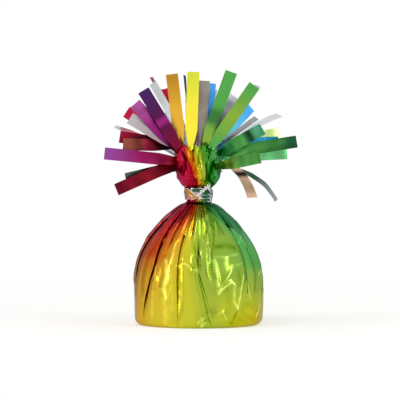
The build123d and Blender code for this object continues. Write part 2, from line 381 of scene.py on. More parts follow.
@dataclass(frozen=True)
class RainbowFilm:
    """Printed metallised film whose colour runs across the sheet, bright, with a fine crinkle, and with
    painted shade and painted highlights over the print.
    """

    name: str
    stops: Stops
    gloss: Span = (0.16, 0.26)
    crinkle: float = 0.08
    strength: float = 0.35
    shine: Span = (90, 2)
    grain: Span = (420, 3)

    def material(self) -> Material:
        """Makes the film's nodes.

        Returns:
            The film's material.
        """
        material, shader = new_material(self.name)
        sheet = add_node(material, "UVMap", {}, uv_map=SHEET_UV).outputs["UV"]
        across = add_node(material, "SeparateXYZ", {"Vector": sheet}).outputs["X"]
        stops = [(sheet_share(place), tint.linear) for place, tint in self.stops]
        # The print with its painted shade and painted highlights.
        colour = add_painted_shading(material, add_ramp(material, across, stops, "EASE"))
        fill(material, shader, {"Base Color": colour, **METAL})
        surface = Surface(self.gloss, self.crinkle, self.strength)
        surface.apply(material, shader, add_noise(material, *self.shine), add_noise(material, *self.grain))
        return material


@dataclass(frozen=True)
class StripFilm:
    """Metallised film in the colour that a piece's points carry: used for both sides of the cut strips,
    with their painted reflection bands, and for the tie, whose colours are painted reflections and
    highlights.
    """

    name: str
    colour: str
    gloss: Span = (0.22, 0.34)
    crinkle: float = 0.08
    strength: float = 0.3
    shine: Span = (150, 2)
    grain: Span = (500, 2)

    def material(self) -> Material:
        """Makes the film's nodes.

        Returns:
            The film's material.
        """
        material, shader = new_material(self.name)
        colour = add_node(material, "Attribute", {}, attribute_name=self.colour).outputs["Color"]
        fill(material, shader, {"Base Color": colour, **METAL})
        surface = Surface(self.gloss, self.crinkle, self.strength)
        surface.apply(material, shader, add_noise(material, *self.shine), add_noise(material, *self.grain))
        return material


@dataclass(frozen=True)
class GrainedFill:
    """Moulded plastic or loose sand: two close tints in a grain, with a bump."""

    name: str
    tint: Tint
    shade: Tint
    grain: float
    surface: Surface

    def material(self) -> Material:
        """Makes the filling's nodes.

        Returns:
            The grained material.
        """
        material, shader = new_material(self.name)
        grains = add_noise(material, self.grain, 3)
        colour = add_ramp(material, grains, [(0.35, self.shade.linear), (0.65, self.tint.linear)])
        fill(material, shader, {"Base Color": colour})
        self.surface.apply(material, shader, grains, grains)
        return material


RAINBOW: Stops = (
    (-160, Tint.PURPLE), (-132, Tint.MAGENTA), (-112, Tint.CRIMSON), (-92, Tint.RED),
    (-74, Tint.VERMILION), (-58, Tint.ORANGE), (-42, Tint.GOLD), (-26, Tint.CITRON),
    (-10, Tint.CHARTREUSE), (4, Tint.LIME), (18, Tint.OLIVE), (32, Tint.LEAF), (50, Tint.GRASS),
    (66, Tint.JADE), (86, Tint.GREEN), (112, Tint.GREEN), (136, Tint.SEA), (160, Tint.BLUE),
)


@dataclass
class FilmGrid:
    """A grid primitive whose points are then set in code, as a sheet is laid."""

    name: str
    points: Array
    piece: Piece = field(init=False)
    column: Array = field(init=False)
    row: Array = field(init=False)

    def __post_init__(self) -> None:
        """Adds a flat grid, finds each point's column and row, and moves the points to their places."""
        rows, columns = (size - 1 for size in self.points.shape[:2])
        select_only()
        bpy.ops.mesh.primitive_grid_add(x_subdivisions=columns, y_subdivisions=rows, size=2)
        self.piece = bpy.context.object
        self.piece.name = self.name
        mesh = self.piece.data
        mesh.name = self.name
        flat = np.empty(len(mesh.vertices) * 3)
        mesh.vertices.foreach_get("co", flat)
        flat = flat.reshape(-1, 3)
        self.column = np.rint((flat[:, 0] + 1) / 2 * columns).astype(int)
        self.row = np.rint((flat[:, 1] + 1) / 2 * rows).astype(int)
        mesh.vertices.foreach_set("co", (self.points[self.row, self.column] * MM).ravel())
        mesh.update()

    def map_sheet(self, across: Array, along: Array) -> None:
        """Writes the sheet's own coordinates as its UV map.

        Args:
            across: The place across the rainbow in millimetres, by row and column.
            along: The place out from the sheet's middle in millimetres, by row and column.
        """
        mesh = self.piece.data
        mesh.uv_layers[0].name = SHEET_UV
        corners = np.empty(len(mesh.loops), dtype=int)
        mesh.loops.foreach_get("vertex_index", corners)
        pairs = np.stack([sheet_share(across), along / (2 * SHEET_SPAN)], axis=2)
        mesh.uv_layers[0].data.foreach_set("uv", pairs[self.row[corners], self.column[corners]].ravel())

    def map_tints(self, name: str, tints: Array) -> None:
        """Writes a named colour of each point, from linear colours by row and column."""
        colours = self.piece.data.color_attributes.new(name, "FLOAT_COLOR", "POINT")
        colours.data.foreach_set("color", tints[self.row, self.column].ravel())

    def map_painted_shading(self, tone: Array) -> None:
        """Writes the painted shade and painted highlights of each point, from painted shading by row and
        column.
        """
        self.map_tints(PAINTED_SHADING, np.repeat(0.5 + 0.5 * np.clip(tone, -1, 1)[:, :, None], 4, axis=2))

    def close(self, turn_over: bool = False) -> Piece:
        """Merges the seams and poles and smooths the surface.

        Args:
            turn_over: Whether the faces point inwards as laid.

        Returns:
            The laid piece.
        """
        bpy.ops.object.mode_set(mode="EDIT")
        bpy.ops.mesh.select_all(action="SELECT")
        bpy.ops.mesh.remove_doubles(threshold=WELD)
        if turn_over:
            bpy.ops.mesh.flip_normals()
        bpy.ops.object.mode_set(mode="OBJECT")
        bpy.ops.object.shade_smooth()
        return self.piece


def thicken(piece: Piece, thickness: float, reverse_slot: int) -> None:
    """Gives the active piece of film its thickness, with the reverse in another material slot.

    Args:
        piece: The laid film.
        thickness: Millimetres of film.
        reverse_slot: How many slots further the reverse's material is.
    """
    solidify = piece.modifiers.new("film", "SOLIDIFY")
    solidify.thickness = thickness * MM
    solidify.offset = 0.0
    solidify.material_offset = reverse_slot
    bpy.ops.object.modifier_apply(modifier=solidify.name)
    bpy.ops.object.shade_smooth_by_angle(angle=math.radians(SHARP_EDGE))


@dataclass(frozen=True)
class Crumple:
    """Crumpled film: flat three-cornered facets between scattered points, which meet in sharp creases."""

    seed: int
    radius: float
    spacing: Span
    reach: Span
    height: float
    scatter_share: float = 0.42

    @property
    def around(self) -> int:
        """How many facets there are round the piece."""
        return round(TURN * self.radius / self.spacing[0])

    def scatter(self) -> tuple[Array, Array]:
        """Scatters the facets' corners round the piece.

        Returns:
            Places across and along in facet spacings, repeated past the seam, and their heights.
        """
        random = np.random.default_rng(self.seed)
        rows = round((self.reach[1] - self.reach[0]) / self.spacing[1]) + 1
        across, along = np.meshgrid(np.arange(self.around), np.arange(rows), indexing="ij")
        places = np.stack([across + 0.5 * (along % 2), along], axis=2).reshape(-1, 2)
        places = places + random.uniform(-self.scatter_share, self.scatter_share, places.shape)
        heights = random.normal(0, self.height, len(places))
        past = [places + (shift * self.around, 0) for shift in (-1, 0, 1)]
        return np.concatenate(past), np.tile(heights, len(past))

    def relief(self, azimuth: Array, way: Array) -> Array:
        """The facets' height.

        Args:
            azimuth: Radians from -pi to pi, or past that.
            way: The way along the film in millimetres, of the same shape.

        Returns:
            Height off the smooth film in millimetres.
        """
        places, heights = self.scatter()
        corners, _, faces, sources, _, _ = delaunay_2d_cdt([Vector(one) for one in places], [], [], 0, 1e-6)
        spots = np.array([tuple(one) for one in corners])
        levels = np.array([heights[source[0]] for source in sources])
        across = np.mod(azimuth + math.pi, TURN) / TURN * self.around
        along = (way - self.reach[0]) / self.spacing[1]
        total = np.zeros_like(across)
        for face in faces:
            facet, level = spots[list(face)], levels[list(face)]
            (left, low), (right, high) = facet.min(axis=0), facet.max(axis=0)
            if right < 0 or left > self.around:
                continue
            near = (across >= left) & (across <= right) & (along >= low) & (along <= high)
            x, y = across[near] - facet[0, 0], along[near] - facet[0, 1]
            (bx, by), (cx, cy) = facet[1:] - facet[0]
            size = bx * cy - cx * by
            b, c = (x * cy - cx * y) / size, (bx * y - x * by) / size
            held = (b >= -FACET_EDGE) & (c >= -FACET_EDGE) & (b + c <= 1 + FACET_EDGE)
            plane = level[0] + b * (level[1] - level[0]) + c * (level[2] - level[0])
            total[near] = np.where(held, plane, total[near])
        return total


@dataclass(frozen=True)
class Pleat:
    """One knife pleat: its edge's azimuth at foot, waist and neck, its step, and where it begins."""

    foot: float
    waist: float
    neck: float
    step: float
    begins: float = 36.0


@dataclass(frozen=True)
class Crease:
    """A ridge or dent in the film, as a run of places across and up the show side, with its painted light:
    a painted highlight on a ridge, painted shade in a dent.
    """

    run: Pairs
    height: float
    width: float
    tone: float

    def rise(self, off: Array) -> Array:
        """The crease's height at distances from its line."""
        return CREASE_HEIGHT * self.height * np.clip(1 - off / (CREASE_FOOT * self.width), 0, 1)

    def paint(self, off: Array) -> Array:
        """The crease's painted light at distances from its line: a painted highlight for a ridge, painted
        shade for a dent.

        Args:
            off: Distances in millimetres.

        Returns:
            Painted shading, strong in the core and weak in the skirt.
        """
        core = np.clip(1.2 - off / (CREASE_CORE * self.width), 0, 1)
        skirt = np.clip(1 - off / (CREASE_SKIRT * self.width), 0, 1)
        most = (GLINT_TONE if self.tone > 0 else 1) * self.tone
        return most * (CORE_SHARE * core + SKIRT_SHARE * skirt)


Run = tuple[list[Span], Crease]


def crease_field(runs: list[Run], azimuth: Array, way: Array, reach: Array) -> tuple[Array, Array]:
    """The creases' height, and their painted shade and painted highlights, over a turned film.

    Args:
        runs: Each crease with its run as azimuths in radians and ways along the film.
        azimuth: Radians, by row and column.
        way: Way along the film in millimetres, by row and column.
        reach: Radius in millimetres, by row and column.

    Returns:
        Height off the smooth film in millimetres, and painted shading.
    """
    total, tone = np.zeros(azimuth.shape), np.zeros(azimuth.shape)
    uneven = 1 - UNEVEN + UNEVEN * np.sin(1.1 * way + 23 * azimuth)
    for places, crease in runs:
        off = np.full(azimuth.shape, np.inf)
        for (turn_a, out_a), (turn_b, out_b) in zip(places, places[1:]):
            across = (np.mod(azimuth - turn_a + math.pi, TURN) - math.pi) * reach
            along = way - out_a
            step_across, step_along = (turn_b - turn_a) * reach, out_b - out_a
            size = step_across**2 + step_along**2 + 1e-9
            share = np.clip((across * step_across + along * step_along) / size, 0, 1)
            off = np.minimum(off, np.hypot(across - share * step_across, along - share * step_along))
        total += crease.rise(off)
        paint = crease.paint(off) * uneven
        tone = np.where(np.abs(paint) > np.abs(tone), paint, tone)
    return total, tone


@dataclass
class FilmWrap:
    """The film round the tub: knife pleats from the foot to the tie, with creases and crumpled facets,
    painted shade in the folds and dents, and painted highlights on ridges and fold edges.

    Rises, fades and reaches are ways out from the sheet's middle between which a feature comes or goes.
    """

    radius: float = 35.0
    base_edge: float = 4.0
    shoulder_z: float = 25.0
    top_z: float = 66.4
    top_radius: float = 9.6
    fullness: float = 0.88
    drawn_in: Pairs = ((7.4, 67.1), (6.5, 67.9), (6.0, 70.0))
    overlap: float = 0.9
    most_overlap: float = 0.8
    pleat_rise: float = 14.0
    lean_from: float = 37.0
    lap_rise: Span = (33, 40)
    belly_rise: Span = (36, 60)
    crease_rise: Span = (32, 37)
    crease_fade: Span = (98, 106)
    # Ways out between which the painted shading fades in above the foot, and the pleats' painted shade
    # halves towards the tie.
    shading_rise: Span = (30, 34)
    shading_fade: Span = (80, 100)
    gather_reach: Span = (94, 106)
    panel_share: float = 0.66
    fold_share: float = 0.17
    panel_belly: float = 0.4
    # Painted shade in the folds and at each panel's root, and a painted highlight along each panel's edge,
    # with the shares of the panel that they cover.
    pleat_shading: float = -0.35
    root_shade: float = -0.25
    root_share: float = 0.09
    edge_highlight: float = 0.14
    highlight_share: float = 0.07
    lining: float = 2.8
    lining_floor: float = 0.3
    lining_step: int = 8
    foot_rows: int = 7
    wall_rows: int = 122
    panel_columns: int = 24
    fold_columns: int = 5
    crumple: Crumple = Crumple(3, 35.0, (12.0, 24.0), (28.0, 112.0), 0.45)
    waist_way: float = 70.0
    print_left: Pairs = (
        (36, 36), (45, 40), (56, 45), (62, 50), (67, 57), (73, 74), (80, 82), (88, 90), (106, 112),
    )
    print_right: Pairs = ((36, -26), (45, -8), (58, 28), (67, 50), (78, 60), (88, 80), (106, 108))
    print_jump: float = 14.0
    jump_sine: Span = (-0.02, 0.08)
    red_spread: float = 0.55
    red_reach: Span = (76, 96)
    green_squeeze: float = 0.7
    green_reach: Span = (68, 90)
    pleats: tuple[Pleat, ...] = (
        Pleat(-168, -170, -160, 0.9), Pleat(-146, -142, -136, 1.1, 42), Pleat(-126, -122, -112, 0.8),
        Pleat(-103, -100, -88, 1.1, 40), Pleat(-82, -78, -58, 0.6, 54), Pleat(-61, -46, -31, 0.6),
        Pleat(-40, -33, -20, 0.9, 74), Pleat(-19, -20, -8, 0.8, 36), Pleat(-3, -9, -2, 0.6, 80),
        Pleat(11, -1, 3, 1.0, 36), Pleat(24, 12, 12, 0.9, 62), Pleat(51, 50, 17, 2.2, 52),
        Pleat(72, 70, 46, 0.4, 84), Pleat(92, 90, 72, 1.0), Pleat(110, 114, 100, 0.8, 42),
        Pleat(136, 132, 127, 1.1), Pleat(154, 157, 152, 0.8, 42), Pleat(174, 172, 176, 1.0, 44),
    )
    # Each crease's last number is its painted light: above 0 a painted highlight on a ridge, below 0
    # painted shade in a dent.
    creases: tuple[Crease, ...] = (
        Crease(((8.0, 38.2), (9.8, 30.0), (11.0, 19.0)), 0.8, 0.85, 0.9),
        Crease(((11.0, 19.0), (14.6, 22.8), (18.2, 25.3), (19.5, 23.8)), 0.8, 0.85, 1.0),
        Crease(((19.5, 23.8), (19.1, 14.9), (21.3, 10.4)), 0.8, 0.9, 0.85),
        Crease(((21.3, 10.4), (22.8, 19.0), (24.5, 28.6)), 0.8, 0.9, 1.0),
        Crease(((19.4, 34.8), (16.6, 28.6), (13.5, 24.5), (11.1, 19.7)), 0.5, 0.7, 0.55),
        Crease(((8.4, 39.3), (14.6, 38.9), (22.1, 40.3)), 0.5, 0.9, 0.45),
        Crease(((20.8, 34.1), (24.2, 35.5)), 0.4, 0.7, 0.5),
        Crease(((27.3, 24.5), (28.3, 16.2)), 0.4, 0.6, 0.7),
        Crease(((6.3, 44.4), (6.5, 36.9)), 0.5, 0.7, 0.7),
        Crease(((-12.2, 34.1), (-7.4, 35.5), (-1.2, 31.4)), 0.5, 0.8, 0.6),
        Crease(((1.5, 42.4), (1.9, 38.2), (-2.6, 40.3)), 0.4, 0.6, 0.7),
        Crease(((-12.2, 46.5), (-14.3, 35.5)), 0.5, 1.0, 0.85),
        Crease(((-17.7, 36.9), (-17.1, 30.0), (-18.8, 22.4), (-17.7, 16.2)), 0.6, 1.7, 1.0),
        Crease(((-18.5, 15.0), (-18.2, 3.0)), 0.3, 2.2, 0.3),
        Crease(((-23.6, 33.0), (-23.2, 26.0)), 0.4, 0.9, 0.7),
        Crease(((-24.4, 25.0), (-25.6, 6.0)), 0.3, 1.8, 0.3),
        Crease(((-14.6, 32.0), (-14.0, 10.0)), 0.3, 0.8, 0.35),
        Crease(((-25.3, 46.5), (-22.6, 50.6), (-20.5, 51.3)), 0.4, 0.8, 0.5),
        Crease(((-23.9, 54.0), (-15.0, 60.9)), 0.4, 0.7, 0.45),
        Crease(((-17.0, 47.0), (-11.0, 57.0)), 0.3, 0.8, 0.35),
        Crease(((-0.2, 3.2), (2.2, 6.2), (1.5, 0.8), (3.9, 3.4)), 0.4, 0.6, 0.75),
        Crease(((5.3, 8.0), (6.3, 0.6)), 0.5, 0.7, 0.85),
        Crease(((10.4, 8.0), (13.2, 8.7), (17.3, 1.2)), 0.4, 0.7, 0.35),
        Crease(((7.2, 55.0), (5.0, 51.0), (5.4, 47.0)), 0.4, 0.7, 0.5),
        Crease(((-16.0, 1.2), (-9.0, 0.9)), 0.3, 0.8, 0.4),
        Crease(((-19.1, 49.9), (-23.9, 35.5), (-27.4, 24.5), (-30.3, 3.0)), -0.3, 0.9, -0.3),
        Crease(((-11.9, 32.0), (-11.4, 12.0), (-11.2, 1.0)), -0.2, 0.7, -0.3),
        Crease(((-11.0, 31.0), (-10.8, 22.0)), -0.2, 1.8, -0.25),
        Crease(((-0.2, 28.6), (3.6, 13.5), (6.6, 1.0)), -0.3, 0.7, -0.5),
        Crease(((8.0, 58.9), (7.7, 42.4), (6.0, 28.6)), -0.3, 0.7, -0.55),
        Crease(((9.5, 44.6), (14.0, 45.2), (19.5, 43.4)), -0.3, 2.6, -0.4),
        Crease(((21.1, 8.7), (18.0, 2.5)), -0.4, 0.8, -0.8),
        Crease(((9.8, 61.6), (17.3, 54.7), (22.1, 46.5), (25.6, 34.8), (27.0, 26.5)), -0.4, 0.8, -0.9),
        Crease(((2.2, 58.0), (2.9, 48.0)), -0.3, 0.6, -0.5),
        Crease(((-2.6, 46.5), (-0.5, 35.5), (0.5, 32.7)), -0.3, 0.8, -0.4),
        Crease(((-3.0, 33.0), (1.0, 34.5)), -0.2, 1.4, -0.35),
        Crease(((-2.2, 64.0), (-3.6, 58.0), (-3.4, 52.0)), -0.3, 0.8, -0.45),
        Crease(((13.0, 28.0), (16.6, 16.0), (15.4, 8.0)), -0.2, 3.0, -0.15),
        Crease(((22.0, 30.0), (22.6, 24.0)), -0.2, 2.2, -0.25),
        Crease(((24.6, 12.0), (24.0, 3.0)), -0.3, 1.2, -0.3),
        Crease(((-30.4, 42.0), (-28.4, 46.0), (-25.0, 51.0), (-21.0, 56.0), (-16.0, 61.0)), 0.1, 3.4, 0.85),
        Crease(((-12.0, 52.0), (-7.0, 61.0)), 0.1, 2.2, 0.4),
        Crease(((18.0, 3.0), (25.0, 4.5), (32.0, 5.0)), -0.1, 5.0, -0.3),
        Crease(((26.0, 12.0), (31.0, 11.0)), -0.1, 3.4, -0.2),
    )
    loose_creases: int = 44
    loose_seed: int = 12
    loose_from: float = 1.1
    loose_reach: Span = (36, 98)
    loose_end: float = 102.0
    loose_turn: float = 0.07
    loose_step: Span = (-4, 14)
    loose_height: Span = (0.3, 0.7)
    loose_width: float = 0.8
    loose_shading: tuple[float, ...] = (-0.45, 0.5, 0.85)
    piece: Piece = field(init=False)

    def profile(self) -> tuple[Array, Array]:
        """The film's outline from the middle of the underside to the tie.

        Returns:
            Radii and heights, closely spaced along it.
        """
        rise = 1 - np.linspace(1, 0, 400) ** 2
        dome_z = self.shoulder_z + (self.top_z - self.shoulder_z) * rise
        taper = np.clip(1 - rise**2, 0, 1) ** self.fullness
        dome = self.top_radius + (self.radius - self.top_radius) * taper
        turn = np.linspace(0, math.pi / 2, 30)
        corner = self.radius - self.base_edge
        base = np.linspace(0, corner, 40)[:-1]
        wall = np.linspace(self.base_edge, self.shoulder_z, 42)[1:-1]
        end_radii, end_heights = zip(*self.drawn_in)
        radii = [base, corner + self.base_edge * np.sin(turn), 0 * wall + self.radius, dome[1:], end_radii]
        heights = [0 * base, self.base_edge * (1 - np.cos(turn)), wall, dome_z[1:], end_heights]
        return np.concatenate(radii), np.concatenate(heights)

    def stations(self) -> tuple[Array, Array, Array, Array]:
        """Rows of the sheet: sparse under the foot, close above it.

        Returns:
            Radius, height, way out from the sheet's middle, and the outward normal in radius and height.
        """
        radii, heights = self.profile()
        way = path_length(radii, heights)
        corner = self.radius - self.base_edge
        foot = np.linspace(0, corner - 1, self.foot_rows)
        stops = np.concatenate([foot, np.linspace(corner, way[-1], self.wall_rows)])
        radius, height = np.interp(stops, way, radii), np.interp(stops, way, heights)
        slope_r, slope_z = np.gradient(radius, stops), np.gradient(height, stops)
        return radius, height, stops, np.stack([slope_z, -slope_r]) / np.hypot(slope_r, slope_z)

    def fold_places(self, way: Array) -> Array:
        """The azimuth of every pleat's edge at every row.

        Args:
            way: Each row's way out from the sheet's middle.

        Returns:
            Azimuths in radians by row and pleat, with the first pleat again at the end.
        """
        runs = np.array([(pleat.foot, pleat.waist, pleat.neck) for pleat in self.pleats]).T
        foot, waist, neck = np.radians(np.concatenate([runs, runs[:, :1] + 360], axis=1))
        lean = smooth(way, self.lean_from, self.waist_way)[:, None]
        draw = np.clip((way - self.waist_way) / (way[-1] - self.waist_way), 0, 1)[:, None] ** 2
        return foot + (waist - foot) * lean + (neck - waist) * draw

    def crease_runs(self) -> list[Run]:
        """The listed creases, and loose ones round the sides and back.

        Returns:
            Each crease with its run as azimuths in radians and ways out from the sheet's middle.
        """
        radius, height, stops, _ = self.stations()
        random = np.random.default_rng(self.loose_seed)
        runs = []
        for crease in self.creases:
            places = []
            for across, up in crease.run:
                out = float(np.interp(up, height[self.foot_rows :], stops[self.foot_rows :]))
                places.append((show_azimuth(across, float(np.interp(out, stops, radius))), out))
            runs.append((places, crease))
        for _ in range(self.loose_creases):
            turn = random.uniform(self.loose_from, TURN - self.loose_from)
            out = random.uniform(*self.loose_reach)
            places = [(turn, out)]
            for _ in range(random.integers(1, 4)):
                turn += random.normal(0, self.loose_turn)
                out = min(out + random.uniform(*self.loose_step), self.loose_end)
                places.append((turn, out))
            # Each loose crease gets painted shade in a dent or a painted highlight on a ridge.
            tone = random.choice(self.loose_shading)
            rise = math.copysign(random.uniform(*self.loose_height), tone)
            runs.append((places, Crease((), rise, self.loose_width, tone)))
        return runs

    def lay_pleats(self, radius: Array, way: Array) -> Array:
        """Folds the sheet into its pleats.

        Args:
            radius: Each row's radius.
            way: Each row's way out from the sheet's middle.

        Returns:
            Azimuth, height off the outline, azimuth on the flat sheet, and painted shading by row and
            column: painted shade under each fold and at each panel's root, and a painted highlight along
            each panel's edge.
        """
        edges = self.fold_places(way)[:, :, None]
        count = len(self.pleats)
        spare = math.pi * np.maximum(way - radius, 0) / (count * np.maximum(radius, 1))
        lap = self.overlap * spare * smooth(way, *self.lap_rise)
        lap = np.minimum(lap, self.most_overlap * TURN / count)[:, None]
        gathered = 1 - 0.5 * smooth(way, *self.gather_reach)[:, None]
        belly = self.panel_belly * gathered * smooth(way, *self.belly_rise)[:, None]
        stands = [
            smooth(way, one.begins, one.begins + self.pleat_rise)[:, None] * gathered for one in self.pleats
        ]
        layers = []
        for index, pleat in enumerate(self.pleats):
            following = (index + 1) % count
            stand, next_stand = stands[index], stands[following]
            here, there = edges[:, index], edges[:, index + 1]
            hidden = lap * np.clip(1.6 * next_stand, 0, 1)
            drop = self.pleats[following].step * next_stand
            for layer in Layer:
                steps = self.panel_columns if layer is Layer.PANEL else self.fold_columns
                share = (np.arange(steps) / steps)[None, :]
                if layer is Layer.PANEL:
                    azimuth = here + (there - here) * share
                    level = belly * np.sin(math.pi * share) ** 2 - pleat.step * stand * (1 - share) ** 1.5
                    # Painted shade at the panel's root, under the edge that overlaps it, and a painted
                    # highlight along the panel's own edge.
                    near_edge = 1 - (1 - share) / self.highlight_share
                    tone = self.root_shade * stand * np.maximum(0, 1 - share / self.root_share)
                    tone = tone + self.edge_highlight * next_stand * np.maximum(0, near_edge)
                    sheet = self.panel_share * share
                elif layer is Layer.RETURN:
                    azimuth = there - hidden * share
                    level = -0.75 * drop * share**0.6
                    # Painted shade on the fold's return.
                    tone = self.pleat_shading * next_stand * share
                    sheet = self.panel_share + self.fold_share * share
                else:
                    azimuth = there - hidden * (1 - share)
                    level = -drop * (0.8 + 0.2 * share)
                    # Painted shade on the layer under the fold.
                    tone = self.pleat_shading * next_stand
                    sheet = self.panel_share + self.fold_share * (1 + share)
                sheet = math.radians(pleat.foot) + (there[0] - here[0]) * sheet
                layers.append(np.stack(np.broadcast_arrays(azimuth, level, sheet, tone)))
        laid = np.concatenate(layers, axis=2)
        seam = laid[:, :, :1] + np.reshape((TURN, 0, TURN, 0), (4, 1, 1))
        return np.concatenate([laid, seam], axis=2)

    def print_places(self, out: Array, turn: Array) -> Array:
        """Which part of the rainbow shows where.

        Args:
            out: Way out from the sheet's middle, by row and column.
            turn: The azimuth on the flat sheet in radians, by row and column.

        Returns:
            The place across the rainbow in millimetres, by row and column.
        """
        left, right = (np.interp(out, *zip(*stops)) for stops in (self.print_left, self.print_right))
        share = np.abs(np.sin(turn))
        jump = self.print_jump * smooth(np.sin(turn), *self.jump_sine) * (1 - share)
        red = -left * share ** (1 - self.red_spread * smooth(out, *self.red_reach))
        green = right * share ** (1 + self.green_squeeze * smooth(out, *self.green_reach)) + jump
        return np.where(np.sin(turn) < 0, red, green)

    def build(self) -> Piece:
        """Lays the film and shapes it.

        Returns:
            The finished wrap, closed over its lining.
        """
        radius, height, way, normal = self.stations()
        azimuth, level, sheet_turn, pleat_shading = self.lay_pleats(radius, way)
        out = way[:, None] + 0 * azimuth
        wrinkle, tone = crease_field(self.crease_runs(), azimuth, out, radius[:, None] + 0 * out)
        wrinkle += self.crumple.relief(azimuth, out)
        wrinkle *= smooth(out, *self.crease_rise) * (1 - smooth(out, *self.crease_fade))
        # Painted shade in the folds, halved towards the tie; a crease's painted light wins where stronger,
        # and all of it fades in above the foot.
        pleat_shading = pleat_shading * (1 - 0.5 * smooth(out, *self.shading_fade))
        tone = np.where(np.abs(tone) > np.abs(pleat_shading), tone, pleat_shading) * smooth(out, *self.shading_rise)
        film = self.solid_points(radius, height, normal, azimuth, level + wrinkle)
        inside = np.maximum(radius - self.lining, 0)
        lining = self.solid_points(inside, height, normal, azimuth, level * smooth(out, *self.belly_rise))
        lining[:, :, 2] += np.clip(self.lining_floor - lining[:, :, 2], 0, 1)
        back = [*range(len(way) - 3, self.foot_rows - 2, -self.lining_step), self.foot_rows - 1, 0]
        across = self.print_places(out, sheet_turn)
        grid = FilmGrid("film_wrap_sheet", np.concatenate([film, lining[back]]))
        grid.map_sheet(np.concatenate([across, across[back]]), np.concatenate([out, out[back]]))
        grid.map_painted_shading(np.concatenate([tone, 0 * tone[back]]))
        self.piece = grid.close()
        return self.piece

    def solid_points(
        self, radius: Array, height: Array, normal: Array, azimuth: Array, level: Array
    ) -> Array:
        """Points by row and column, at levels off the outline's radii and heights along its normals."""
        reach = np.maximum(radius[:, None] + level * normal[0][:, None], 0)
        return turned(reach, azimuth, np.maximum(height[:, None] + level * normal[1][:, None], 0))

    def dress(self, film: RainbowFilm) -> None:
        """Gives the wrap its film and its place in the frame.

        Args:
            film: The printed film.
        """
        self.piece.data.materials.append(film.material())
        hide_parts("film_wrap")
        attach(self.piece, "weight")


